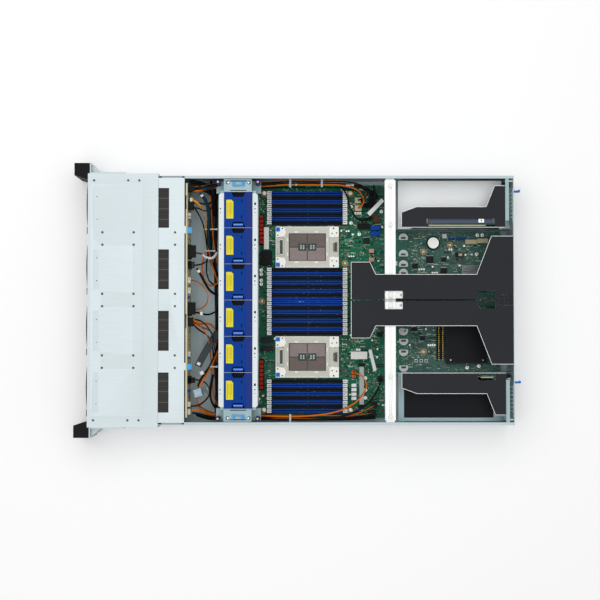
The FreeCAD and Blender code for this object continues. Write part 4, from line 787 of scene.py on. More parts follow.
def dressShell():
    dress("chassis_base", [("screwSteel", small(shell["screwMost"])),
                           ("floorSteel", lambda s: s.size[2] < shell["sheetMost"])], "chassisSteel", 0.2)
    dress("drive_cage", [], "cageSteel", 0.15)
    # the ears' bevels are painted as bright highlights
    dress("rack_ears", [("screwSteel", small(shell["earScrewMost"]))], "chassisSteel", 0.2,
          edges={"chassisSteel": "paintedEdgeHighlight"})
    dress("ear_caps", [("lampGreen", small(shell["lampMost"]))], "capBlack", 0.8)
    dress("rear_panel", [], "chassisSteel", 0.12)

    def isShelf(s):
        thin = s.size[2] < shell["sheetMost"]
        return thin and s.centre[0] < shell["shelfLeftOf"] and s.size[0] > shell["shelfWide"]
    dress("rear_frame", [("brightSteel", inside(*shell["middleBay"])), ("bayPale", isShelf)], "bracketSteel",
          0.12)
    dress("cross_bar", [("screwSteel", small(shell["screwMost"]))], "barSteel", 0.25)
    print("shell dressed")


def dressCapFaces():
    # a grey panel let into each ear cap's slanted inner face, and upright ribs on its front
    shape = Shape()
    for side in (-1, 1):
        shape.prism([(side*x, y) for x, y in cap["panel"]], *cap["panelZ"], "darkGrey")
    shape.piece("earCapPanels", "ear_caps", 0.1)
    ribs = [((side*x, cap["ribY"], cap["ribLow"]), cap["rib"], 0) for side in (-1, 1) for x in cap["ribX"]]
    repeat("earCapRibs", "brick", ribs, "darkGrey", "ear_caps")


def dressFloor():
    # pressed lines and rivets in the floor between the backplane and the fans, and rivets on the walls
    p = pressing
    shape = Shape()
    for y in p["lineY"]:
        shape.box((-p["lineAside"], p["lineAside"]), (y, y + p["lineWide"]), p["lineZ"], "floorSteel",
                  inset=0.2)
    for x in p["bossX"]:
        radius, top = p["bossRadius"]
        shape.rod((x, p["bossY"]), radius, *p["bossZ"], "floorSteel", sides=24, top=top)
        radius, top = p["rivetRadius"]
        shape.rod((x, p["bossY"]), radius, *p["rivetZ"], "screwSteel", sides=16, top=top)
    shape.piece("floorPressings", "chassis_base")
    rivets = [((side*p["wallAside"], y, z), p["wallRivet"], (0, -side*math.pi/2, 0))
              for side in (-1, 1) for y in p["wallY"] for z in p["wallZ"]]
    repeat("wallRivets", "dome", rivets, "screwSteel", "chassis_base")


dressCovers()
dressShell()
dressCapFaces()
dressFloor()
print("chassis dressed")


# Drives and backplane

drive = {
    "count": 12, "topRow": 9, "lampMost": 4, "long": 140, "plateHigh": 26, "plateFrom": 12, "frontWide": 20,
    "pinWide": 3, "lidHigh": 26.45, "ribs": 5, "ribPitch": 6.2, "ribHalf": 0.7, "ribY": (118, 158),
    "ribHigh": 0.25,
    "labelHalf": 30, "labelY": (40, 104), "labelHigh": 0.12,
}


def dressDrives():
    d = drive
    rules = [("lampGreen", small(d["lampMost"])),
             ("drivePlate",
              lambda s: s.size[1] > d["long"] and s.size[2] > d["plateHigh"] and s.low[1] > d["plateFrom"]),
             ("driveSide", lambda s: s.size[1] > d["long"]), ("darkGrey",
                                                              lambda s: s.size[0] < d["frontWide"])]
    for number in range(1, d["count"] + 1):
        node = f"drive_tray_{number}"
        dress(node, rules, "blackPlastic", 0.3)
        dress(f"tray_lever_{number}", [("screwSteel", lambda s: s.size[0] < d["pinWide"])], "capBlack", 0.4)
        if number >= d["topRow"]:
            dressDriveTop(node, number)
    print("drives dressed")


def dressDriveTop(node, number):
    # the lid of a drive as the cover's window shows it: pressed ribs and a bare label
    d = drive
    middle = (lowOf(node).x + highOf(node).x)/2
    top = lowOf(node).z + d["lidHigh"]
    shape = Shape()
    for k in range(-d["ribs"], d["ribs"] + 1):
        shade = "driveSide" if k % 3 == 0 else "darkGrey"
        x = middle + k*d["ribPitch"]
        shape.box((x - d["ribHalf"], x + d["ribHalf"]), d["ribY"], (top, top + d["ribHigh"]), shade,
                  inset=0.15)
    shape.box((middle - d["labelHalf"], middle + d["labelHalf"]), d["labelY"], (top, top + d["labelHigh"]),
              "labelWhite")
    shape.piece(f"driveLid{number}", node)


backplane = {
    "face": 175.0, "boardWide": 300, "latchDrop": 7, "narrow": 5.5, "endPlug": (-202, -190),
    "stripAside": 206, "stripY": (171.2, 171.9), "stripZ": (70, 83.6),
    "stubX": (-123, 117), "stubHalf": 2, "stubLong": 4, "stubZ": (78, 80.5),
    # where the photograph shows the upright connectors: pixels down, and their widths
    "white": ((214.5, 7), (216.6, 5), (278.6, 6), (288.9, 6), (353, 6), (355.4, 4), (404, 9), (411.5, 10)),
    "whiteDeep": 5.5, "whiteZ": (66, 76.5), "blue": (297, 357, 391), "blueHalf": 2.5, "blueDeep": 4.4,
    "blueZ": (68, 75), "across": 190, "chips": 150, "chipsX": (-200, 200), "chipsZ": (8, 76),
}


def dressBackplane():
    b = backplane
    top = highOf("backplane").z
    face = b["face"]

    def isWhite(s):
        first, last = b["endPlug"]
        return s.centre[1] > face and (s.size[1] < b["narrow"] and s.centre[0] < 0 or first < s.low[0] < last)
    dress("backplane", [("boardCream", lambda s: s.size[0] > b["boardWide"]),
                        ("latchBlue", lambda s: s.low[2] > top - b["latchDrop"] and s.centre[1] > face),
                        ("connectorWhite", isWhite), ("blackPlastic", lambda s: s.centre[1] > face)],
          "blackPlastic", 0.3)
    shape = Shape()
    # a dark strip along the board's front edge, painted shade, and the white stubs of its latches
    shape.box((-b["stripAside"], b["stripAside"]), b["stripY"], b["stripZ"], "paintedHoleShade")
    for x in b["stubX"]:
        shape.box((x - b["stubHalf"], x + b["stubHalf"]), (face, face + b["stubLong"]), b["stubZ"],
                  "latchWhite")
    # white connectors with their pins, and blue ones, upright on the board's rear face
    pinsAt = b["whiteZ"][1]
    for v, wide in b["white"]:
        x = at(b["across"], v, 76)[0]
        shape.box((x - wide/2, x + wide/2), (face, face + b["whiteDeep"]), b["whiteZ"], "connectorWhite",
                  inset=0.3)
        for k in range(3):
            shape.block(x - wide/4 + k*wide/4, face + 3, 0.8, 2.4, pinsAt, 0.05, "labelGrey")
    for v in b["blue"]:
        x = at(b["across"], v, 74)[0]
        shape.box((x - b["blueHalf"], x + b["blueHalf"]), (face, face + b["blueDeep"]), b["blueZ"],
                  "slotBlue",
                  inset=0.3)
    shape.piece("backplaneConnectors", "backplane", 0.2)
    chance = random.Random(12)
    bits = []
    for k in range(b["chips"]):
        x = chance.uniform(*b["chipsX"])
        z = chance.uniform(*b["chipsZ"])
        bits.append(((x, face, z), (chance.uniform(1, 2.6), chance.uniform(0.8, 1.6),
                                    chance.uniform(0.5, 1.2)),
                     (-math.pi/2, 0, 0)))
    repeat("backplaneChipsDark", "brick", bits[::2], "chipBlack", "backplane")
    repeat("backplaneChipsTan", "brick", bits[1::2], "tanPart", "backplane")
    print("backplane dressed")


dressDrives()
dressBackplane()

# Fan wall

fan = {
    "columns": (-5, -3, -1, 1, 3, 5), "pitch": 63.6, "front": 239.6, "rear": 289.2, "top": 85.0,
    "middle": 264.4,
    "bodyTop": 80, "tabWide": 10, "recessHalf": 30.9, "recessDeep": 8,
    "stickerX": (-17.5, 15.6), "stickerY": (243.4, 255.8), "stickerCut": 3.4, "stickerHigh": 0.08,
    "lines": 4, "linePitch": 2.4, "lineWide": 0.5, "lineX": (5, -2.5), "lineShort": 6.0, "lineHigh": 0.02,
    "archX": (21.6, 30.8), "archY": (252.0, 276.6), "archZ": (-6.9, -6.4), "archCorner": (1.6, 3.6, 6.0),
    "backX": (0.6, 2.1), "backEnd": 6.4, "backZ": (-6.9, -1.4),
    "tabHighlightX": (25.0, 27.4), "tabHighlightHalf": 8.2, "tabHighlightZ": (-0.6, -0.1), "tabHighlightInset": 0.7,
    "arrow": ((-4, 259.6), (-1.3, 259.6), (-1.3, 257.4), (1.3, 257.4), (1.3, 259.6), (4, 259.6), (0, 265)),
    "arrowHigh": 0.12, "notchX": (-15.3, 13.0), "notchY": 271.6, "notchHalf": (3.4, 2.4), "notchHigh": 0.05,
}
rail = {
    "top": 84.0, "frontAt": 220.4, "rearAt": 255,  # pixels across in the photograph
    "plungerHigh": 30, "plungerWide": 9, "bracketFrom": 188, "bracketWide": 20,
    "hole": (4.2, 3.2), "holeAside": 10.5, "ink": 0.06, "arrow": ((-3.4, -1.2), (-0.2, -1.2), (-1.8, 1.5)),
    "dotAside": 5.2, "dotRadius": 0.8, "dividerHalf": 0.18, "dividerGap": 0.4, "dividerLow": 60,
    "dividerDrop": 0.3,
}
bracket = {
    "inner": 191.0, "outer": 213.0, "top": 82.0, "slotInsets": (2.2, 3.4), "slotHalf": 0.7,
    "slotY": (250, 279),
    "slotHigh": 0.05, "holeX": 207, "holeY": (246.5, 282.5), "holeRadius": (1.9, 1.6), "holeHigh": 1.4,
    "postX": (200.4, 209.6), "postY": (254.2, 274.4), "postDeep": 1.3, "postHigh": 3.4,
    "plungerX": 208.0, "plungerY": (228.6, 298.7), "plungerTop": 85.0, "plungerRadius": (4.0, 3.4),
    "pinRadius": (2.1, 1.7), "stepHigh": 0.5, "cross": (2.2, 0.5, 0.04), "crossTurn": 0.5,
}


def dressFanWall():
    r = rail
    dress("fan_wall_frame", [
        ("plungerBlue", lambda s: s.size[2] > r["plungerHigh"] and s.size[0] < r["plungerWide"]),
        ("bracketSteel", lambda s: abs(s.centre[0]) > r["bracketFrom"] and s.size[0] > r["bracketWide"])],
        "paleRail", 0.3)
    for side in ("left", "right"):
        dress(f"fan_wall_latch_{side}", [], "latchBlue", 0.4)
    shape = Shape()
    top, ink = r["top"], r["top"] + r["ink"]
    rearRail, frontRail = at(r["rearAt"], 0, top)[1], at(r["frontAt"], 0, top)[1]
    for k in fan["columns"]:
        x = k*fan["pitch"]/2
        # a dark hole in the rear rail, painted shade
        shape.block(x - r["holeAside"], rearRail, *r["hole"], top, r["ink"], "paintedHoleShade")
        for y in (rearRail, frontRail):
            shape.prism([(x + dx, y + dy) for dx, dy in r["arrow"]], top, ink, "darkGrey")
            shape.rod((x + r["dotAside"], y), r["dotRadius"], top, ink, "darkGrey", sides=12)
    # thin dividers that show between the modules
    along = (fan["front"] + r["dividerGap"], fan["rear"] - r["dividerGap"])
    for k in range(-3, 4):
        x = k*fan["pitch"]
        shape.box((x - r["dividerHalf"], x + r["dividerHalf"]), along, (r["dividerLow"],
                                                                        fan["top"] - r["dividerDrop"]),
                  "paleRail")
    shape.piece("railMarks", "fan_wall_frame")
    dressBrackets()
    print("fan wall dressed")


def dressBrackets():
    # end brackets: slots along both edges, two holes, latch posts and spring plungers
    b = bracket
    shape = Shape()
    z = b["top"]
    for side in (-1, 1):
        # the slots are drawn as dark strips of painted shade
        for x in (b["inner"] + b["slotInsets"][0], b["outer"] - b["slotInsets"][1]):
            shape.box(sorted((side*(x - b["slotHalf"]), side*(x + b["slotHalf"]))), b["slotY"],
                      (z, z + b["slotHigh"]),
                      "paintedHoleShade")
        for y in b["holeY"]:
            shape.rod((side*b["holeX"], y), b["holeRadius"][0], z, z + b["holeHigh"], "brightSteel", sides=16,
                      top=b["holeRadius"][1])
        for y in b["postY"]:
            shape.box(sorted(side*x for x in b["postX"]), (y, y + b["postDeep"]), (z, z + b["postHigh"]),
                      "latchBlue")
        for y in b["plungerY"]:
            x, low, step = side*b["plungerX"], b["plungerTop"], b["stepHigh"]
            shape.rod((x, y), b["plungerRadius"][0], low, low + step, "plungerBlue", sides=20,
                      top=b["plungerRadius"][1])
            shape.rod((x, y), b["pinRadius"][0], low + step, low + 2*step, "brass", sides=16,
                      top=b["pinRadius"][1])
            # the cross recess of each plunger is drawn dark as painted shade
            wide, deep, high = b["cross"]
            shape.block(x, y, wide, deep, low + 2*step, high, "paintedHoleShade", b["crossTurn"])
    shape.piece("bracketFittings", "fan_wall_frame", 0.1)


# the walls and floor of a module's recess, which get painted shade
def inRecess(centre, normal, solid):
    deep = fan["front"] + 1 < centre.y < fan["rear"] - 1
    near = abs(centre.x - solid.centre[0]) < fan["recessHalf"]
    wall = abs(normal.z) < 0.1 and centre.z > fan["top"] - fan["recessDeep"] and near and deep
    return wall or normal.z > 0.9 and centre.z < fan["top"] - 2


def lowerStrip(centre, normal, solid):
    level = fan["top"] - 1 < centre.z < fan["top"] - 0.2
    return normal.z > 0.9 and level and solid.high[2] > fan["top"] - 0.1


def dressFans():
    rules = [("blackPlastic", lambda s: s.high[2] < fan["bodyTop"]), ("tabBlue",
                                                                      lambda s: s.size[0] < fan["tabWide"])]
    for number, k in enumerate(fan["columns"], start=1):
        # each module's recess gets painted shade
        dress(f"fan_module_{number}", rules, "fanBlue", 0.5,
              paint=(("recessNavy", inRecess), ("fanBlueDark", lowerStrip)))
        dress(f"fan_rotor_{number}", [], "blackPlastic", 0.2)
        dressFanTop(number, k*fan["pitch"]/2)
    print("fans dressed")


def dressFanTop(number, x):
    top = fan["top"]
    shape = Shape()
    # painted shade in the recess: a dark arch round the sprung tab, open where the tab shows
    inner, outer = (x + v for v in fan["archX"])
    near, far = fan["archY"]
    a, b, c = fan["archCorner"]
    outline = [(outer, near), (outer, far), (inner + a, far - b), (inner, far - c), (inner, near + c),
               (inner + a, near + b)]
    shape.prism(outline, *(top + v for v in fan["archZ"]), "recessNavy")
    shape.box([inner + v for v in fan["backX"]], (near + fan["backEnd"], far - fan["backEnd"]),
              [top + v for v in fan["backZ"]], "recessNavy", inset=0.3)
    # a raised ridge on the tab, coloured light blue as a painted highlight
    shape.box([x + v for v in fan["tabHighlightX"]], (fan["middle"] - fan["tabHighlightHalf"],
                                               fan["middle"] + fan["tabHighlightHalf"]),
              [top + v for v in fan["tabHighlightZ"]], "tabPaintedHighlight", inset=fan["tabHighlightInset"])
    # a yellow label with one corner cut, ruled but bare
    left, right = (x + v for v in fan["stickerX"])
    front, rear = fan["stickerY"]
    cut, face = fan["stickerCut"], top + fan["stickerHigh"]
    shape.prism([(left, front), (right, front), (right, rear), (left + cut, rear), (left, rear - cut)], top,
                face,
                "labelYellow")
    for k in range(fan["lines"]):
        y = front + fan["linePitch"]*(k + 1)
        end = right + fan["lineX"][1] - fan["lineShort"]*(k % 2)
        shape.box((left + fan["lineX"][0], end), (y, y + fan["lineWide"]), (face, face + fan["lineHigh"]),
                  "labelInk")
    # pressed airflow arrow, and notches in the lower strip drawn as dark half-discs of painted shade
    shape.prism([(x + dx, y) for dx, y in fan["arrow"]], top, top + fan["arrowHigh"], "fanBlue")
    wide, deep = fan["notchHalf"]
    for dx in fan["notchX"]:
        turns = [math.pi*(1 + i/8) for i in range(9)]
        points = [(x + dx + wide*math.cos(turn), fan["notchY"] + deep*math.sin(turn)) for turn in turns]
        shape.prism(points, top, top + fan["notchHigh"], "recessNavy")
    shape.piece(f"fanTop{number}", f"fan_module_{number}", 0.05)


dressFanWall()
dressFans()

# Motherboard: memory, processor sockets and small parts

boardTop = 9.7
bank = {"slots": 8, "blueFirst": (0, 2)}


def dressMemory():
    solids = solidsOf("memory_slots")
    slots = sorted((s for s in solids if s.size[1] > 100), key=lambda s: s.centre[0])
    blue, black = [], []
    for index, slot in enumerate(slots):
        number, place = divmod(index, bank["slots"])
        first, second = (blue, black) if number in bank["blueFirst"] else (black, blue)
        (first if place % 2 == 0 else second).append(slot)
    latches = [s for s in solids if s.size[1] < 100]
    for name, group, finishName in (("memoryBlue", blue, "slotBlue"), ("memoryBlack", black, "slotBlack"),
                                    ("memoryLatches", latches, "latchWhite")):
        buildSolids(name, group, finishName, "memory_slots", 0.35)
    # contact rows in the groove, dark as painted shade of the groove, a key bridge, and a finger hole in
    # every latch drawn as a darker patch of painted shade
    contactShades, keys, holeShades = [], [], []
    for slot in slots:
        x = slot.centre[0]
        for k in range(24):
            y = slot.low[1] + 11 + k*5.25
            for side in (-1, 1):
                contactShades.append(((x + side*0.72, y, slot.high[2] - 1.2), (0.35, 3.6, 0.6), 0))
        keys.append(((x, slot.low[1] + 74, boardTop + 2), (2, 2.4, slot.high[2] - boardTop - 2.2), 0))
    for latch in latches:
        outer = -1 if latch.centre[1] < 380 else 1
        holeShades.append(((latch.centre[0], latch.centre[1] + outer*1.6, latch.high[2]), (2.2, 2.0, 0.04), 0))
    repeat("memoryContacts", "brick", contactShades, "slotBlack", "memory_slots")
    repeat("memoryKeys", "brick", keys, "darkGrey", "memory_slots")
    repeat("memoryLatchHoles", "brick", holeShades, "tieWhite", "memory_slots")
    print("memory slots dressed")


socket = {
    "centres": (-97.8, 100.5), "front": 328.7, "depth": 114.5, "low": 13.1, "top": 16.7,
    "landTop": 14.5, "windowHalf": 24.75, "windowFront": 352.7, "windowRear": 419.7,
    "bail": ((-14, 14, 0.9), (-14, 5, 0.6), (0, 4.6, 0.6), (14, 5, 0.6), (14, 14, 0.9)),
}


def onSocket(s):
    return any(abs(s.centre[0] - x) < 38 for x in socket["centres"]) and 326 < s.centre[1] < 445


def dressSocket(number, x):
    shape = Shape()
    front, rear = socket["windowFront"] + 0.8, socket["windowRear"] - 0.8
    land = socket["landTop"]
    mid = (front + rear)/2
    half = socket["windowHalf"] - 1
    # four quarters of contact lands, the halves toward the middle line of the board paler with a painted
    # sheen
    toMiddle = 1 if x < 0 else -1
    for side in (-1, 1):
        shade = "landPaintedSheen" if side == toMiddle else "landDark"
        xs = sorted((x + side*0.9, x + side*half))
        shape.box(xs, (front + 1, mid - 0.9), (land, land + 0.25), shade)
        shape.box(xs, (mid + 0.9, rear - 1), (land, land + 0.25), shade)
    shape.box((x - half, x + half), (mid - 0.7, mid + 0.7), (land, land + 0.5), "chipGrey", inset=0.2)
    shape.box((x - 0.7, x + 0.7), (front, rear), (land, land + 0.5), "chipGrey", inset=0.2)
    # the green windows with their frames and contacts
    for y in (24.5, 42.5):
        centre = socket["windowFront"] + y
        for a, b, c, d in ((-6.3, 6.3, -7, -5.8), (-6.3, 6.3, 5.8, 7), (-6.3, -5.1, -7, 7),
                           (5.1, 6.3, -7, 7)):
            shape.box((x + a, x + b), (centre + c, centre + d), (land, land + 0.9), "wireTeal", inset=0.15)
        for dx in (-2.6, 0, 2.6):
            for dy in (-2.4, 2.4):
                shape.block(x + dx, centre + dy, 1.5, 2.0, land + 0.4, 0.15, "labelWhite")
    # white tabs round the window
    top = socket["top"]
    for dx in (-13, 13):
        shape.block(x + dx, socket["windowFront"] - 2.2, 6.5, 2.6, top, 0.4, "wingWhite", inset=0.4)
        shape.block(x + dx, socket["windowRear"] + 2.4, 6.5, 2.6, top, 0.4, "wingWhite", inset=0.4)
    for dy in (14, 50):
        for side in (-1, 1):
            shape.block(x + side*(socket["windowHalf"] + 2.6), socket["windowFront"] + dy, 3.0, 7.5, top, 0.4,
                        "wingWhite",
                        inset=0.4)
    # raised edges of the load plate
    for side in (-1, 1):
        shape.box(sorted((x + side*35.4, x + side*36.7)), (socket["front"] + 10, socket["windowRear"] + 4),
                  (top, top + 0.7), "brightSteel", inset=0.4)
    # wings in front with rivets, and rivets at the rear, drawn as dark discs of painted shade
    for side in (-1, 1):
        outline = [(x + side*17.5, socket["front"] + 1), (x + side*36.5, socket["front"] + 1),
                   (x + side*36.5, socket["front"] + 15.5), (x + side*27, socket["front"] + 19),
                   (x + side*19.5, socket["front"] + 16)]
        shape.prism(outline[::-side], top, top + 0.5, "wingWhite")
        shape.rod((x + side*21.5, socket["front"] + 4.2), 1.3, top + 0.5, top + 0.56, "paintedHoleShade", sides=14)
        shape.rod((x + side*33.8, socket["front"] + 12.4), 1.3, top + 0.5, top + 0.56, "paintedHoleShade", sides=14)
        rearY = socket["front"] + socket["depth"]
        for dx, dy, r in ((33.8, -9.5, 1.5), (25.5, -4.2, 1.3), (24.8, -12.4, 1.2)):
            shape.rod((x + side*dx, rearY + dy), r, top + 0.6, top + 0.66, "paintedHoleShade", sides=14)
    shape.box((x - 12.5, x + 12.5), (socket["front"] + 8, socket["front"] + 13), (top - 2.6, top - 1.4),
              "chipGrey",
              inset=0.5)
    shape.piece(f"socketParts{number}", "motherboard", 0.1)
    # coils of the hinge spring, and the bail in front
    coils = [((x - 6.6 + 2.2*k, socket["front"] + 106.6, socket["low"] + 3), (1.1, 5.4, 1.7),
              0) for k in range(7)]
    repeat(f"socketSpring{number}", "brick", coils, "chipGrey", "motherboard")
    bail = [(x + dx, socket["front"] + dy, top - drop) for dx, dy, drop in socket["bail"]]
    wires(f"socketBail{number}", [bail], 0.7, "brightSteel", "motherboard")


def dressBoard():
    def wide(s, size):
        return abs(s.size[0] - size) < 0.3
    dress("motherboard", [
        ("boardGreen", lambda s: s.size[0] > 300),
        ("clipBlue", lambda s: onSocket(s) and wide(s, 7)),
        ("nickel", lambda s: onSocket(s) and s.size[0] > 70),
        ("boardShade", lambda s: onSocket(s) and wide(s, 10.6)),
        ("chipGrey", lambda s: onSocket(s) and 45 < s.size[0] < 65),
        ("wingWhite", lambda s: onSocket(s) and wide(s, 19)),
        ("screwSteel", lambda s: onSocket(s) and s.size[2] < 2),
        ("chipGrey", onSocket),
        ("batterySteel", lambda s: abs(s.size[0] - 20) < 0.1 and abs(s.size[1] - 20) < 0.1),
        ("blackPlastic", lambda s: abs(s.size[0] - 24.8) < 0.1),
        ("headerRed", lambda s: 299 < s.centre[1] < 308 and wide(s, 6) and s.size[1] > 6.5),
        ("heatSinkGrey", inside((-70, -38), (660, 704))),
        ("connectorCream", inside((-118, -90), (675, 710))),
        ("connectorCream", inside((-188, -160), (470, 486))),
        ("brownConnector", inside((-156, -142), (503, 520))),
        ("slotBlue", inside((-136, -118), (498, 520))),
        ("blackPlastic", inside((-142, -128), (475, 499))),
        ("saltPink", inside((-93, -70), (495, 510))),
        ("amber", inside((124, 139), (464, 476))),
        ("latchWhite", inside((148, 178), (464, 476))),
        ("blackPlastic", lambda s: inside((110, 194), (478, 490))(s) and s.size[0] < 10),
        ("slotGrey", inside((116, 188), (478, 490))),
        ("sleeveWhite", inside((-125, 128), (545, 575))),
        ("capacitorCan", lambda s: abs(s.size[2] - 7) < 0.2 and wide(s, 6)),
        ("screwSteel", lambda s: abs(s.size[2] - 1.8) < 0.1 and wide(s, 7.2)),
        ], "chipBlack", 0.3)
    for number, x in enumerate(socket["centres"], start=1):
        dressSocket(number, x)
    print("board dressed")


# where the photograph shows each small part, as pixels across and down
smallParts = {
    "redCaps": ((478, 234.3), (482, 233.9), (466.3, 366.3), (477.8, 364.9), (261.5, 268.8), (261.5, 272.7),
                (261.5, 279.1), (261.5, 282.9), (350.2, 204.8), (358.6, 232.5), (380.8, 209.7),
                (364.4, 376.8),
                (364.4, 388.8), (364.4, 396.5), (263.4, 394.1), (259.9, 397.3)),
    "cyanCaps": ((350.2, 221.2), (471.8, 253.1)),
    "ringScrews": ((423.6, 250.3), (450, 243.6), (423.6, 350.3), (264.1, 192.3), (350.5, 192.3),
                   (263.1, 409.3),
                   (350, 409.3), (386, 300), (300, 300), (262, 300), (345, 262)),
    "padSquares": ((416, 359.4), (421, 359.4), (426, 359.4), (449, 360.5), (471.7, 360.5)),
    "blueHeaders": ((450, 237.5), (453.6, 237.5), (457, 237.5), (460.6, 237.5), (464, 237.5), (379.6, 333.5)),
    "creamBlocks": ((358.3, 198.3), (358.3, 206.6), (460.3, 253.5)),
}
smallSizes = {"cap": 5.6, "capHigh": 6.4, "ring": 5.4, "pad": 5.6}


def dressSmallParts():
    size = smallSizes
    for finishName, kind in (("redMark", "redCaps"), ("cyanMark", "cyanCaps")):
        cans, tops = [], []
        for u, v in smallParts[kind]:
            x, y = at(u, v, boardTop)[:2]
            cans.append(((x, y, boardTop), (size["cap"], size["cap"], size["capHigh"]), 0))
            tops.append(((x, y, boardTop + size["capHigh"]), (size["cap"]*0.86, size["cap"]*0.5, 0.06), 0.6))
        repeat(kind, "dome", cans, "capacitorCan", "motherboard")
        repeat(kind + "Marks", "halfDisc", tops, finishName, "motherboard")
    marked = [s for s in solidsOf("motherboard") if abs(s.size[2] - 7) < 0.2 and abs(s.size[0] - 6) < 0.2]
    repeat("canMarks", "halfDisc", [((s.centre[0], s.centre[1], s.high[2]), (4.4, 2.6, 0.06),
                                     0.4) for s in marked],
           "chipGrey", "motherboard")
    shape = Shape()
    for u, v in smallParts["ringScrews"]:
        x, y = at(u, v, boardTop)[:2]
        shape.rod((x, y), size["ring"], boardTop, boardTop + 0.08, "amberPale", sides=28)
        shape.rod((x, y), size["ring"]*0.72, boardTop + 0.08, boardTop + 0.12, "boardShade", sides=24)
        if abs(x) < 190:
            shape.screw(x, y, boardTop + 0.12, 2.8, 1.6)
    for u, v in smallParts["padSquares"]:
        x, y = at(u, v, boardTop)[:2]
        shape.block(x, y, size["pad"], size["pad"], boardTop, 0.7, "pinSilver", inset=0.2)
        shape.block(x, y, size["pad"]*0.7, size["pad"]*0.7, boardTop + 0.7, 0.9, "chipGrey", inset=0.3)
    for u, v in smallParts["blueHeaders"]:
        x, y = at(u, v, boardTop)[:2]
        shape.block(x, y, 5, 3.4, boardTop, 6, "slotBlue", inset=0.2)
    for u, v in smallParts["creamBlocks"]:
        x, y = at(u, v, boardTop)[:2]
        shape.block(x, y, 5.2, 7, boardTop, 7, "connectorCream", inset=0.3)
    # a dark field of painted shade under the fan headers, and bare labels on the board
    for x in (-129.7, 132.4):
        shape.box((x - 28, x + 28), (298.6, 308.6), (boardTop, boardTop + 0.06), "paintedHoleShade")
    for u, v, wide, deep, turn in ((444.6, 234.3, 9, 8, 0), (394, 262, 8, 12, 0), (402, 330, 12, 8, 0)):
        x, y = at(u, v, boardTop)[:2]
        shape.block(x, y, wide, deep, boardTop, 0.08, "labelWhite", turn)
    shape.piece("boardFittings", "motherboard", 0.05)
    dressChips()
    dressFields()


def dressChips():
    # a printed frame and a pin-one dot on each package, legs along its sides
    legs, dots = [], []
    for s in solidsOf("motherboard"):
        if 7.5 < s.size[0] < 13.5 and s.size[2] < 2 and s.low[2] < boardTop + 0.1 and not onSocket(s):
            for side in (-1, 1):
                for k in range(int(s.size[1]/1.3)):
                    y = s.low[1] + 0.9 + 1.3*k
                    legs.append(((s.centre[0] + side*(s.size[0]/2 + 0.5), y, boardTop), (1.2, 0.5, 0.35), 0))
            dots.append(((s.low[0] + 1.6, s.low[1] + 1.6, s.high[2]), (1, 1, 0.04), 0))
    repeat("chipLegs", "brick", legs, "pinSilver", "motherboard")
    repeat("chipDots", "disc", dots, "labelGrey", "motherboard")


fields = {
    # open stretches of the board that carry small parts: x, y and how many
    "front": ((-136, 136), (304, 326), 90), "middle": ((-18, 18), (330, 470), 60),
    "leftRim": ((-30, -20), (320, 460), 20),
    "behindLeft": ((-205, -20), (448, 520), 330), "behindRight": ((20, 205), (448, 520), 330),
    "centre": ((-28, 28), (470, 720), 150), "rearLeft": ((-124, -22), (566, 726), 330),
    "rearRight": ((22, 124), (566, 634), 170), "betweenA": ((-138, -132), (316, 455), 30),
    "socketLeft": ((-132, -62), (444, 462), 60), "socketRight": ((64, 136), (444, 462), 60),
}


def dressFields():
    chance = random.Random(7)
    taken = []
    for node in ("motherboard", "memory_slots", "riser_cards"):
        for s in solidsOf(node):
            if s.low[2] < boardTop + 3 and s.size[0] < 200:
                taken.append((s.low[0] - 0.6, s.high[0] + 0.6, s.low[1] - 0.6, s.high[1] + 0.6))
    for spots in smallParts.values():
        for u, v in spots:
            x, y = at(u, v, boardTop)[:2]
            taken.append((x - 5, x + 5, y - 5, y + 5))

    def free(x, y, wide, deep):
        return all(x + wide/2 < a or x - wide/2 > b or y + deep/2 < c or y - deep/2 > d for a, b, c,
                   d in taken)

    kinds = {"chipBlack": (2.6, 1.5, 0.9), "tanPart": (1.8, 1.1, 1.0), "pinSilver": (1.3, 0.8, 0.5),
             "chipGrey": (4.2, 3.2, 1.1), "capacitorCan": (3.0, 3.0, 2.4)}
    share = ["chipBlack"]*5 + ["tanPart"]*5 + ["pinSilver"]*5 + ["chipGrey"]*2 + ["capacitorCan"]
    found = {name: [] for name in kinds}
    for across, along, count in fields.values():
        for k in range(count):
            name = chance.choice(share)
            wide, deep, tall = (v*chance.uniform(0.85, 1.3) for v in kinds[name])
            if chance.random() < 0.5:
                wide, deep = deep, wide
            x, y = chance.uniform(*across), chance.uniform(*along)
            run = chance.choice((1, 1, 2, 3, 5))
            for step in range(run):
                if free(x, y + step*(deep + 0.9), wide, deep):
                    found[name].append(((x, y + step*(deep + 0.9), boardTop), (wide, deep, tall), 0))
                    taken.append((x - wide/2, x + wide/2, y + step*(deep + 0.9) - deep/2,
                                  y + step*(deep + 0.9) + deep/2))
    for name, places in found.items():
        repeat("field" + name[0].upper() + name[1:], "brick", places, name, "motherboard")
    print("board parts scattered", sum(len(p) for p in found.values()))


dressMemory()
dressBoard()
dressSmallParts()

# Risers, cross bar, cards and power supplies

riser = {
    "top": 86.2, "highlightWide": 0.8, "seenAt": 82.2,  # the height of what shows in the windows
    "stripY": (547.5, 552.8), "stripZ": (81.4, 82.2),
    # outlines along which painted edge highlights run
    "edges": ((1.6, 462.9), (66.6, 462.9), (66.6, 495.8), (45.1, 505.8), (45.1, 683.2), (112.4, 709.2),
              (112.4, 747)),
    "outerEdges": ((127.9, 733), (127.9, 551.4), (154.2, 551.4), (163.9, 578), (163.9, 700.2), (201.1, 715.2),
                   (201.1, 733)),
    "rivets": ((24, 520), (24, 600), (24, 668), (60, 472), (100, 722), (34, 700), (136, 560), (148, 566),
               (158, 690),
               (190, 724)),
}


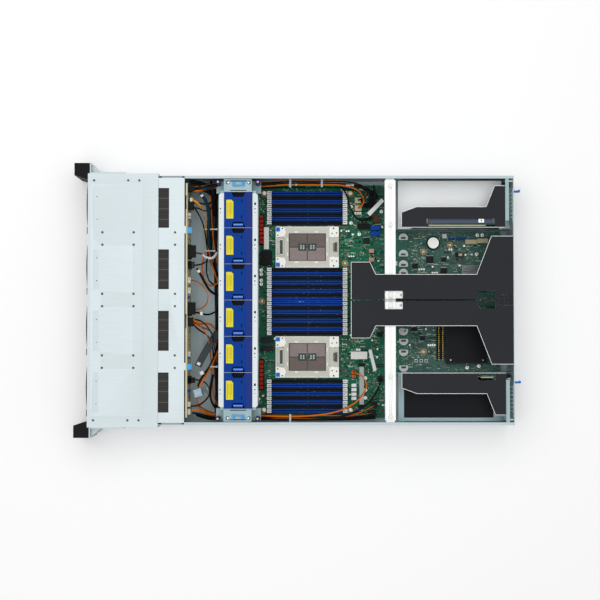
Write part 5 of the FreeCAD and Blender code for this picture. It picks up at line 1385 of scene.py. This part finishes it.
def highlightStrip(shape, first, last, top):
    # a thin bright line just inside a plate's edge, a painted highlight
    middle = ((first[0] + last[0])/2, (first[1] + last[1])/2)
    along = Vector((last[0] - first[0], last[1] - first[1]))
    shape.block(*middle, along.length, riser["highlightWide"], top, 0.04, "paintedEdgeHighlight",
                math.atan2(along.y, along.x))


mezzanine = {"front": 636, "rear": 710, "left": 34, "right": 112, "top": 20.7, "rim": 1.6,
             "cage": ((30, 115), (630, 715), (8, 22))}


def dressRisers():
    # the brackets' bevels are painted as bright highlights
    dress("riser_brackets", [("screwSteel", small(12))], "riserBlack", 0.45,
          edges={"riserBlack": "paintedEdgeHighlight"})
    dress("riser_cards", [("sheetBlack", lambda s: s.size[0] > 50 and s.size[2] < 1),
                          ("boardCream", lambda s: s.size[0] < 2 and abs(s.centre[0]) < 10),
                          ("boardGreen", lambda s: s.size[0] < 2), ("sheetBlack",
                                                                    inside(*mezzanine["cage"]))],
          "blackPlastic", 0.3)
    shape = Shape()
    top = riser["top"]
    for side in (-1, 1):
        # a steel strip with its screw seen through each riser's front window
        shape.box(sorted((side*2.6, side*15.4)), riser["stripY"], riser["stripZ"], "brightSteel", inset=0.3)
        shape.screw(side*9, 550, riser["seenAt"], 2.6, 1.2)
        # a grey-blue connector and a pale board edge seen through the long window
        if side < 0:
            seen = riser["seenAt"]
            shape.box((-143.2, -134.8), (599, 713), (seen - 4, seen), "windowGrey", inset=0.6)
            shape.box((-132.8, -130.0), (599, 700), (seen - 4, seen), "connectorCream", inset=0.3)
            shape.box((-143.2, -136.5), (687, 697), (seen, seen + 0.3), "brightSteel", inset=0.2)
            shape.screw(-139.8, 692, seen + 0.3, 2.2, 1.0)
        else:
            shape.box((132.5, 136.8), (690, 712), (78.5, 82.2), "connectorCream", inset=0.3)
        # small rivets on each plate, and bright lines along its edges as painted highlights
        for x, y in riser["rivets"]:
            shape.rod((side*x, y), 1.6, top, top + 0.35, "darkGrey", sides=16, top=1.2)
        for edges in (riser["edges"], riser["outerEdges"]):
            for (x0, y0), (x1, y1) in zip(edges, edges[1:]):
                highlightStrip(shape, (side*x0, y0), (side*x1, y1), top)
    shape.piece("riserFittings", "riser_brackets", 0.05)
    # dark strips of painted shade in the card slots where the contacts sit
    slots = Shape()
    for side in (-1, 1):
        for z in (30, 52):
            for k in range(18):
                y = 572 + 4.6*k
                slots.box(sorted((side*14.0, side*17.0)), (y, y + 3.2), (z + 7.4, z + 7.55), "paintedHoleShade")
    slots.piece("cardSlotContacts", "riser_cards")
    pins = [((34 + 3 + 3.8*k, 626.5 + dy, 18.7), (1.6, 1.0, 0.5), 0) for k in range(19) for dy in (-3.6, 3.6)]
    repeat("mezzanineContacts", "brick", pins, "gold", "riser_cards")
    print("risers dressed")


bar = {"screwX": (-202, -133, 133, 204), "screwY": 532, "screwZ": (85.5, 85.9), "screwRadius": (3.2, 2.8),
       "cross": (3.6, 0.8), "crossTurn": 0.5, "padX": (-168, -84, 84, 168), "padHalf": 9,
       "padY": (528.5, 535.5),
       "padZ": (83.0, 83.25)}


def dressCrossBar():
    # crossed screws, their cross recesses drawn dark as painted shade, and pressed pads along the bar
    shape = Shape()
    radius, topRadius = bar["screwRadius"]
    for x in bar["screwX"]:
        shape.rod((x, bar["screwY"]), radius, *bar["screwZ"], "screwSteel", sides=20, top=topRadius)
        for turn in (bar["crossTurn"], bar["crossTurn"] + math.pi/2):
            shape.block(x, bar["screwY"], *bar["cross"], bar["screwZ"][1], 0.05, "paintedHoleShade", turn)
    for x in bar["padX"]:
        shape.box((x - bar["padHalf"], x + bar["padHalf"]), bar["padY"], bar["padZ"], "barSteel", inset=0.2)
    shape.piece("barFittings", "cross_bar", 0.05)


def dressMezzanine():
    # a low rim round the black top of the small card's cage, with rivets
    m = mezzanine
    shape = Shape()
    for x in (m["left"], m["right"] - m["rim"]):
        shape.box((x, x + m["rim"]), (m["front"], m["rear"]), (m["top"], m["top"] + 0.5), "darkGrey",
                  inset=0.3)
    for y in (m["front"], m["rear"] - m["rim"]):
        shape.box((m["left"], m["right"]), (y, y + m["rim"]), (m["top"], m["top"] + 0.5), "darkGrey",
                  inset=0.3)
    for x in (40, 106):
        for y in (644, 702):
            shape.rod((x, y), 1.5, m["top"], m["top"] + 0.6, "screwSteel", sides=16, top=1.1)
    shape.piece("mezzanineRim", "riser_cards", 0.05)


supply = {
    "left": (-203.0, 139.5), "top": 41.7, "rear": 749.0, "inletAside": 20, "lampUp": 33, "lampRadius": 1.6,
    "rim": ((-12.2, 12.2, 6.4, 7.6), (-12.2, 12.2, 23.8, 25.0), (-12.2, -11.1, 7.6, 23.8),
            (11.1, 12.2, 7.6, 23.8)),
    "slots": 14, "slotPitch": 4.6, "slotX": (6, 8.4), "slotY": (600, 690), "labelX": (10, 62),
    "labelY": (700, 738),
}


def dressSupplies():
    for number, left in enumerate(supply["left"], start=1):
        node = f"psu_{number}"
        dress(node, [("gold", lambda s: s.size[0] > 40 and s.size[2] < 3),
                     ("blackPlastic", lambda s: s.size[0] < 30 and s.size[1] < 12),
                     ("brass", lambda s: s.size[0] < 3)], "chassisSteel", 0.3, paint=(("paintedHoleShade", inInlet),))
        dress(f"psu_lever_{number}", [], "leverBlue", 0.4)
        shape = Shape()
        rear, top = supply["rear"], supply["top"]
        # inlet rim and status lamp on the rear face
        x = left + supply["inletAside"]
        for a, b, c, d in supply["rim"]:
            shape.box((x + a, x + b), (rear - 0.1, rear), (c, d), "blackPlastic")
        shape.rod((x, supply["lampUp"]), supply["lampRadius"], rear, rear + 0.0005, "lampGreen", axis="Y",
                  sides=16)
        # vent slots drawn as dark strips of painted shade, and a bare label on the lid
        for k in range(supply["slots"]):
            first, last = (left + v + supply["slotPitch"]*k for v in supply["slotX"])
            shape.box((first, last), supply["slotY"], (top, top + 0.02), "paintedHoleShade")
        shape.box([left + v for v in supply["labelX"]], supply["labelY"], (top, top + 0.05), "labelWhite")
        shape.piece(f"supplyFace{number}", node)
    print("supplies dressed")


# the faces inside the inlet opening, painted dark: the inlet's black and painted shade in its depth
def inInlet(centre, normal, solid):
    deep = supply["rear"] - 14.5 < centre.y < supply["rear"] - 0.5
    upright = solid.low[2] + 1 < centre.z < solid.high[2] - 1
    return deep and upright and solid.size[0] > 60 and solid.low[0] + 2 < centre.x < solid.high[0] - 2


panel = {"rear": 749.0, "vents": ((-124, -112, 28, 78), (112, 124, 28, 78), (-10, 10, 10, 78)), "pitch": 3.4,
         "hole": (2.2, 2.2, 0.02), "lamp": (1.6, 1.6, 0.02), "lampX": (-110, -90, -70, -50), "lampZ": 22.5}


def dressRearPanel():
    # fields of small vent holes between the openings, drawn as dark discs of painted shade, and lamps over
    # the ports
    pitch, rear, facing = panel["pitch"], panel["rear"], (-math.pi/2, 0, 0)
    places = []
    for x0, x1, z0, z1 in panel["vents"]:
        for i in range(int((x1 - x0)/pitch)):
            for j in range(int((z1 - z0)/pitch)):
                places.append(((x0 + pitch*(i + 0.5), rear, z0 + pitch*(j + 0.5)), panel["hole"], facing))
    repeat("panelVents", "disc", places, "paintedHoleShade", "rear_panel")
    lamps = [((x, rear, panel["lampZ"]), panel["lamp"], facing) for x in panel["lampX"]]
    repeat("portLamps", "disc", lamps, "lampGreen", "rear_panel")


def dressButtons():
    dress("power_button", [], "buttonGrey", 0.4)
    dress("id_button", [], "buttonGrey", 0.4)


dressRisers()
dressCrossBar()
dressMezzanine()
dressSupplies()
dressRearPanel()
dressButtons()

# Cables: each run is a bundle of thin wires along the same route

cableRuns = {
    # wires, spread, radius of one wire, main colour, second colour, and the route from its plug
    "leftRunA": (5, 1.5, 0.8, "wireBlack", "wireOrange", (
        (-199, 183.3, 73), (-199, 194, 73), (-205, 209, 56), (-209, 224, 41), (-210, 250, 36),
        (-210, 284, 37),
        (-211, 316, 48), (-212, 350, 60), (-211, 400, 61), (-212, 445, 61), (-208, 478, 57), (-197, 496, 45),
        (-186, 492, 35), (-182, 480, 29), (-182, 478, 21.3))),
    "leftRunB": (5, 1.3, 0.8, "wireOrange", "wireRust", (
        (-193, 183.3, 73), (-193, 193, 73), (-198, 206, 55), (-203, 224, 38), (-204, 250, 31),
        (-204, 284, 33),
        (-205, 318, 47), (-206, 352, 60), (-205, 400, 61), (-206, 440, 61), (-201, 470, 56), (-189, 486, 44),
        (-175, 488, 34), (-168, 480, 29), (-168, 478, 21.6))),
    "leftRunC": (5, 1.3, 0.8, "wireBlack", "wireTeal", (
        (-173, 185.3, 66), (-173, 194, 66), (-170, 206, 58), (-176, 217, 46), (-188, 224, 35),
        (-200, 233, 27),
        (-210, 247, 24), (-211, 284, 24), (-212, 318, 26), (-211, 352, 30), (-212, 400, 31), (-210, 440, 32),
        (-206, 468, 35), (-201, 488, 35), (-190, 505, 34), (-190, 505, 21.9))),
    "leftRunD": (4, 1.1, 0.8, "wireBlack", "wireBlack", (
        (-164, 185.3, 68), (-164, 193, 67), (-158, 204, 57), (-165, 215, 43), (-181, 222, 29),
        (-196, 231, 20),
        (-204, 247, 16), (-205, 284, 17), (-204, 318, 20), (-205, 352, 24), (-204, 400, 24), (-205, 442, 25),
        (-200, 474, 24), (-190, 489, 25), (-180, 498, 28), (-174, 505, 34), (-174, 505, 21.9))),
    "rightRunA": (5, 1.5, 0.8, "wireBlack", "wireBlack", (
        (199, 183.3, 73), (199, 194, 73), (205, 209, 56), (209, 224, 41), (210, 250, 36), (210, 284, 37),
        (211, 316, 48), (212, 350, 60), (211, 400, 61), (207, 445, 60), (196, 478, 54), (178, 500, 46),
        (158, 513, 38), (143, 517, 30), (140, 517, 20.6))),
    "rightRunB": (5, 1.3, 0.8, "wireOrange", "wireBlack", (
        (193, 183.3, 73), (193, 193, 73), (198, 206, 55), (203, 224, 38), (204, 250, 31), (204, 284, 33),
        (205, 318, 47), (206, 352, 60), (204, 396, 61), (199, 434, 60), (187, 464, 56), (168, 486, 50),
        (148, 494, 42), (134, 484, 32), (128.4, 472, 26), (128, 470, 17.3))),
    "rightRunC": (5, 1.3, 0.8, "wireBlack", "wireOrange", (
        (34, 185.3, 66), (34, 195, 66), (43, 207, 57), (62, 218, 44), (98, 222, 35), (140, 221, 30),
        (176, 223, 28),
        (196, 231, 26), (209, 248, 24), (211, 284, 24), (212, 318, 26), (211, 352, 30), (212, 400, 31),
        (209, 440, 33), (207, 466, 38), (204, 486, 42), (202, 502, 37), (202, 502, 21.9))),
    "rightRunD": (4, 1.1, 0.8, "wireBlack", "wireOrange", (
        (42, 185.3, 68), (42, 193, 67), (51, 202, 57), (70, 211, 45), (104, 214, 32), (146, 215, 24),
        (178, 219, 20),
        (195, 231, 18), (204, 247, 16), (205, 284, 17), (204, 318, 20), (205, 352, 24), (204, 400, 24),
        (205, 438, 25), (204, 466, 29), (195, 489, 34), (186, 506, 34), (186, 506, 21.9))),
    "jumperA": (4, 1.1, 0.8, "wireBlack", "wireBlack", (
        (-84, 182.3, 67), (-84, 194, 66), (-80, 207, 57), (-70, 209, 57), (-62, 195, 66), (-62, 182.3, 67))),
    "jumperB": (4, 1.1, 0.8, "wireBlack", "wireOrange", (
        (17, 182.3, 67), (17, 195, 64), (8, 208, 54), (-12, 211, 53), (-27, 200, 61), (-34, 189, 71),
        (-34, 180.3, 72))),
    "jumperC": (5, 1.3, 0.8, "wireBlack", "wireRust", (
        (140, 182.3, 67), (140, 196, 64), (149, 211, 55), (168, 214, 55), (182, 201, 63), (186.5, 189, 71),
        (186.5, 180.3, 72))),
}
looseWires = {
    # wires, spread, radius, finish, and a route in pixels across and down with its height
    "orangeTop": (8, 2.3, 0.95, "wireAmber", ((191.5, 199.5, 74), (196, 201, 73), (201, 206, 64),
                                              (205, 213, 50),
        (206, 224, 38), (207, 240, 30))),
    "blackTop": (8, 2.6, 0.95, "wireBlack", ((191.5, 203.5, 74), (195, 208, 71), (200, 216, 58),
                                             (204, 226, 44),
        (206, 240, 34), (208, 254, 26))),
    "tealCable": (1, 0, 3.1, "wireTeal", ((200, 193, 72), (204, 197, 69), (208, 206, 60), (209, 218, 50),
                                          (208, 233, 40),
        (209, 248, 32), (213, 256, 26))),
    "darkBundle": (26, 8.4, 1.4, "wireBlack", ((212, 183, 40), (213, 196, 34), (212, 212, 30), (211, 228, 27),
        (209, 250, 23), (211, 262, 17), (217, 272, 12))),
    "darkBundleB": (12, 4.6, 1.3, "wireBlack", ((216, 183, 26), (216, 200, 22), (216, 222, 17),
                                                (215, 250, 15),
        (216, 282, 12), (217, 320, 10), (217, 372, 10), (216, 416, 12))),
    "cornerBlack": (24, 9.0, 1.4, "wireBlack", ((191, 184.6, 64), (197, 184.4, 60), (204, 186, 52),
                                                (210, 190, 42),
        (214, 199, 32), (215, 214, 22))),
    "cornerTeal": (3, 2.4, 1.6, "wireTeal", ((196, 186, 70), (203, 188, 66), (211, 187, 60),
                                             (219, 183.6, 52))),
    "orangeStreak": (2, 1.0, 0.9, "wireOrange", ((209, 184, 48), (211, 205, 40), (212, 228, 34),
                                                 (214, 246, 28),
        (217, 262, 22))),
    "whiteSleeve": (1, 0, 2.4, "sleeveWhite", ((202, 253.8, 62), (205, 256.5, 58), (210, 258, 54),
                                               (214.5, 256.5, 50),
        (217, 252, 44))),
    "thickBlack": (1, 0, 2.2, "wireBlack", ((197, 268.4, 66), (200, 273, 62), (205, 283, 52), (211, 292, 42),
        (219, 295, 30))),
    "orangeLoopA": (2, 1.0, 1.1, "wireOrange", ((206, 236, 30), (209, 252, 34), (213, 268, 32),
                                                (218, 281, 26))),
    "orangeLoopB": (3, 1.2, 1.1, "wireOrange", ((206, 250, 34), (202, 261, 42), (202, 272, 40),
                                                (206, 283, 34),
        (213, 286, 28), (219, 281, 22))),
    "blackLoop": (3, 1.3, 1.2, "wireBlack", ((208, 252, 28), (206, 264, 34), (207, 276, 32), (212, 284, 28),
        (219, 285, 22))),
    "thinBlack": (1, 0, 1.7, "wireBlack", ((196, 312, 68), (201, 313, 64), (207, 314.4, 54), (213, 312.6, 42),
        (219, 308.4, 30))),
    "fanOrange": (5, 2.0, 0.95, "wireOrange", ((191.5, 317.5, 74), (195, 321, 70), (200, 324, 60),
                                               (206, 322.6, 48),
        (212, 324, 38), (216.6, 331, 26), (216, 345, 17), (217, 362, 13))),
    "fanRust": (3, 1.4, 0.95, "wireRust", ((191.5, 319, 72), (196, 324, 66), (202, 327, 54), (209, 329, 42),
        (214, 334, 30), (217, 348, 17), (218, 366, 13))),
    "fanBlack": (4, 1.8, 0.95, "wireBlack", ((191.5, 321, 72), (195, 326, 66), (200, 330, 54), (207, 334, 40),
        (212, 341, 26), (214, 356, 17), (215, 376, 13))),
    "silverBundle": (7, 2.4, 0.9, "wireBlack", ((198, 386, 66), (200, 380, 64), (204, 374, 58),
                                                (210, 366, 48),
        (214, 358, 38), (217, 346, 26))),
    "silverOrange": (3, 2.0, 0.9, "wireOrange", ((200, 386, 66), (203, 380, 63), (207, 374, 56),
                                                 (211, 367, 48),
        (214.6, 359, 40), (218, 350, 30))),
    "orangeLow": (4, 1.9, 0.95, "wireOrange", ((197.5, 397, 60), (197, 402, 58), (200, 408, 50),
                                               (206, 413, 40),
        (213, 415, 30), (220, 415.6, 24))),
    "rustLow": (3, 1.5, 0.95, "wireRust", ((198, 404, 56), (202, 407, 48), (209, 411, 36), (219, 413, 26))),
    "blackLow": (3, 2.0, 1.7, "wireBlack", ((213, 374, 30), (211, 384, 28), (210, 395, 26), (213, 404, 24),
        (220, 411.6, 20))),
    "bottomRun": (6, 2.6, 1.2, "wireBlack", ((196, 413, 30), (206, 417, 26), (220, 417.4, 22),
                                             (240, 417.2, 20),
        (300, 417.4, 20), (350, 417.4, 20), (375, 416, 22))),
    "topRun": (5, 2.2, 1.2, "wireBlack", ((200, 184, 30), (216, 183.4, 26), (240, 183.2, 46),
                                          (300, 183.2, 54),
        (350, 183.6, 54), (372, 188, 44), (378, 196, 26))),
    "rearClump": (9, 4.6, 1.3, "wireBlack", ((374, 186, 50), (376, 194, 42), (371, 202, 32), (364, 206, 24),
        (361, 198, 18))),
    "powerLead": (6, 2.4, 1.1, "wireBlack", ((372, 216, 26), (366, 219, 32), (357, 218, 30), (352, 210, 24),
        (348, 200, 24), (346, 190, 40), (340, 184.6, 52))),
}
ribbon = {"route": ((218, 331, 30), (212, 340, 40), (204, 354, 56), (198, 366, 70)), "wide": 13.0,
          "thick": 1.2}
ties = ((210.5, 228.4, 42, 15), (209.5, 250.0, 36, 12), (213.4, 366, 47, 9), (292.6, 184, 58, 9),
        (350, 184.4, 60, 8))
markers = ((201.4, 194.6, 71, 0.7), (198.6, 270.6, 64, 0.8), (201.4, 313.2, 64.6, 0.1),
           (198.8, 363.4, 69, 1.1))


def dressCables():
    groups = {}
    for number, (count, spread, radius, first, second, route) in enumerate(cableRuns.values()):
        lines = strand(route, count, spread, 40 + number)
        groups.setdefault((first, radius), []).extend(lines[:count - 1])
        groups.setdefault((second, radius), []).extend(lines[count - 1:])
    for number, (count, spread, radius, finishName, route) in enumerate(looseWires.values()):
        places = [at(*point) for point in route]
        groups.setdefault((finishName, radius), []).extend(strand(places, count, spread, 90 + number, 0.8))
    for (finishName, radius), routes in groups.items():
        thing = wires(f"wires{finishName[0].upper()}{finishName[1:]}{round(radius*100)}", routes, radius,
                      finishName,
                      "cables", 1 if radius < 1.5 else 2)
        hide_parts("cables")
    print("wires laid", sum(len(r) for r in groups.values()))


def dressCableParts():
    shape = Shape()
    for u, v, z, wide in ties:
        x, y, z = at(u, v, z)
        shape.box((x - 1.2, x + 1.2), (y - wide*0.9, y + wide*0.9), (z + 1.6, z + 2.6), "tieWhite", inset=0.2)
        shape.block(x, y + wide*0.7, 3.8, 3.4, z + 1.4, 2.4, "tieWhite", inset=0.3)
    for u, v, z, turn in markers:
        x, y, z = at(u, v, z)
        shape.block(x, y, 6.4, 5.2, z - 2.6, 5.4, "labelWhite", turn, inset=0.3)
    # plugs on the backplane where the loose wires end
    for u, v, z, wide, deep, tall, shade in (
            (191.5, 188, 66, 12, 12, 12, "blackPlastic"), (191.3, 199.5, 68, 8, 5.6, 8, "connectorWhite"),
            (192, 251, 64, 22, 14, 14, "blackPlastic"), (191.4, 264.4, 64, 12, 11, 12, "darkGrey"),
            (192, 308, 64, 22, 13, 14, "blackPlastic"), (191.4, 318.6, 66, 9, 6, 9, "connectorCream"),
            (192, 379.6, 64, 10, 12, 12, "blackPlastic")):
        x, y, z = at(u, v, z)
        shape.block(x, y, wide, deep, z, tall, shade, inset=0.6)
    x, y, z = at(198.4, 392, 56)
    shape.block(x, y, 15.5, 16, z, 12, "plugSilver", 0.28, inset=0.8)
    shape.block(x, y, 9, 13, z + 12, 1.0, "plugSilver", 0.28, inset=0.5)
    x, y, z = at(202, 372.4, 60)
    shape.block(x, y, 7, 7, z, 4, "labelWhite", 0.5, inset=0.3)
    shape.piece("cableParts", "cables", 0.25)
    dressRibbon()


def dressRibbon():
    # the flat cable, as a strip along its route
    flat = Shape()
    points = [Vector(at(*p)) for p in ribbon["route"]]
    half = ribbon["wide"]/2
    rows = []
    for i, p in enumerate(points):
        along = (points[min(i + 1, len(points) - 1)] - points[max(i - 1, 0)]).normalized()
        side = along.cross(Vector((0, 0, 1))).normalized()*half
        lift = side.cross(along).normalized()*ribbon["thick"]
        rows.append([flat.mesh.verts.new(v*mm) for v in (p - side, p + side, p + side + lift,
                                                         p - side + lift)])
    for a, b in zip(rows, rows[1:]):
        for k in range(4):
            flat.mesh.faces.new((a[k], a[(k + 1) % 4], b[(k + 1) % 4], b[k]))
    flat.mesh.faces.new(rows[0][::-1])
    flat.mesh.faces.new(rows[-1])
    bmesh.ops.recalc_face_normals(flat.mesh, faces=flat.mesh.faces[:])
    flat.slot("ribbonGrey")
    flat.piece("flatCable", "cables", 0.2)


def dressTies():
    # the CAD ties stay as they are, in white
    buildSolids("sideTies", [s for s in solidsOf("cables") if s.size[1] < 8], "tieWhite", "cables", 0.3)


boardLabels = {
    # the flags and labels that lie over the cables and the board: corners in pixels, height, finish
    "flag": (((263.9, 226), (268.8, 226), (268.8, 248), (263.9, 248)), 24.0, "labelWhite"),
    "blackPlug": (((260.5, 249.5), (272, 249.5), (272, 263.5), (260.5, 263.5)), 24.0, "blackPlastic"),
    "slantLeft": (((367.2, 211.8), (370.2, 214.8), (384.4, 199.8), (381.6, 197)), 30.0, "labelWhite"),
    "rearFlag": (((350.9, 350.5), (367.2, 350.5), (367.2, 358), (350.9, 358)), 24.0, "labelWhite"),
    "slantRight": (((368.4, 349.4), (371.4, 348), (376.6, 369), (373.4, 370.4)), 28.0, "labelWhite"),
}


def dressLabels():
    shape = Shape()
    for corners, z, finishName in boardLabels.values():
        outline = [at(u, v, z)[:2] for u, v in corners]
        if finishName == "blackPlastic":
            shape.prism(outline, z - 12, z, finishName)
            shape.prism(outline, boardTop, z - 12, "wireBlack")
        else:
            shape.prism(outline, z - 0.5, z, finishName)
    shape.piece("boardLabels", "motherboard", 0.1)


dressCables()
dressCableParts()
dressTies()
dressLabels()

# Floor, light and camera

stage = {"floorSize": 6.0, "softboxSize": 3.0, "softboxHeight": 2.2, "softboxPower": 34.0, "world": 0.42,
         "floorTone": 0.93, "floorLift": 0.22,
         "floorAt": (0, 0.37, -0.0005), "lampAt": (-0.5, 0.1), "aim": (0, 0.37, 0)}  # metres


def buildFloor():
    bpy.ops.mesh.primitive_plane_add(size=stage["floorSize"], location=stage["floorAt"])
    floor = bpy.context.object
    floor.name = "floor"
    material = bpy.data.materials.new("floorPale")
    material.use_nodes = True
    w = Wiring(material.node_tree)
    shader = material.node_tree.nodes["Principled BSDF"]
    shader.inputs["Roughness"].default_value = 0.9
    noise = w.add("ShaderNodeTexNoise")
    noise.inputs["Scale"].default_value = 3
    tone = stage["floorTone"]
    w.join(w.mix(noise.outputs[0], (tone, tone, tone, 1), (tone + 0.02, tone + 0.02, tone + 0.02, 1)),
           shader.inputs["Base Color"])
    # the camera sees the floor a little brighter, up to plain white
    path = w.add("ShaderNodeLightPath")
    shader.inputs["Emission Color"].default_value = (1, 1, 1, 1)
    w.join(w.math("MULTIPLY", path.outputs["Is Camera Ray"], stage["floorLift"]),
           shader.inputs["Emission Strength"])
    floor.data.materials.append(material)


def buildLight():
    light = bpy.data.lights.new("softbox", "AREA")
    light.shape = "SQUARE"
    light.size = stage["softboxSize"]
    light.energy = stage["softboxPower"]
    lamp = bpy.data.objects.new("softbox", light)
    lamp.location = (*stage["lampAt"], stage["softboxHeight"])
    lamp.rotation_euler = (Vector(stage["aim"]) - Vector(lamp.location)).to_track_quat("-Z", "Y").to_euler()
    bpy.context.scene.collection.objects.link(lamp)
    world = bpy.data.worlds.new("studio")
    world.use_nodes = True
    bpy.context.scene.world = world
    w = Wiring(world.node_tree)
    background = world.node_tree.nodes["Background"]
    path = w.add("ShaderNodeLightPath")
    seen = w.math("MAXIMUM", path.outputs["Is Camera Ray"], path.outputs["Is Glossy Ray"])
    background.inputs["Color"].default_value = (1, 1, 1, 1)
    w.join(w.math("ADD", stage["world"], w.math("MULTIPLY", seen, 1 - stage["world"])),
           background.inputs["Strength"])


def buildCamera():
    lens = bpy.data.cameras.new("camera")
    view = bpy.data.objects.new("camera", lens)
    target = Vector((0, camera["middleY"], camera["aimHeight"]))*mm
    view.location = target + Vector((camera["aside"], 0, camera["height"] - camera["aimHeight"]))*mm
    back = (view.location - target).normalized()
    right = Vector((0, 1, 0))
    view.rotation_euler = Matrix((right, back.cross(right), back)).transposed().to_euler()
    lens.sensor_width = 36
    lens.lens = 36*camera["focal"]/camera["span"]
    bpy.context.scene.collection.objects.link(view)
    bpy.context.scene.camera = view
    bpy.context.scene.view_settings.view_transform = "Standard"


buildFloor()
buildLight()
buildCamera()
for shape in unitShapes.values():
    bpy.data.objects.remove(shape)
print("stage ready")
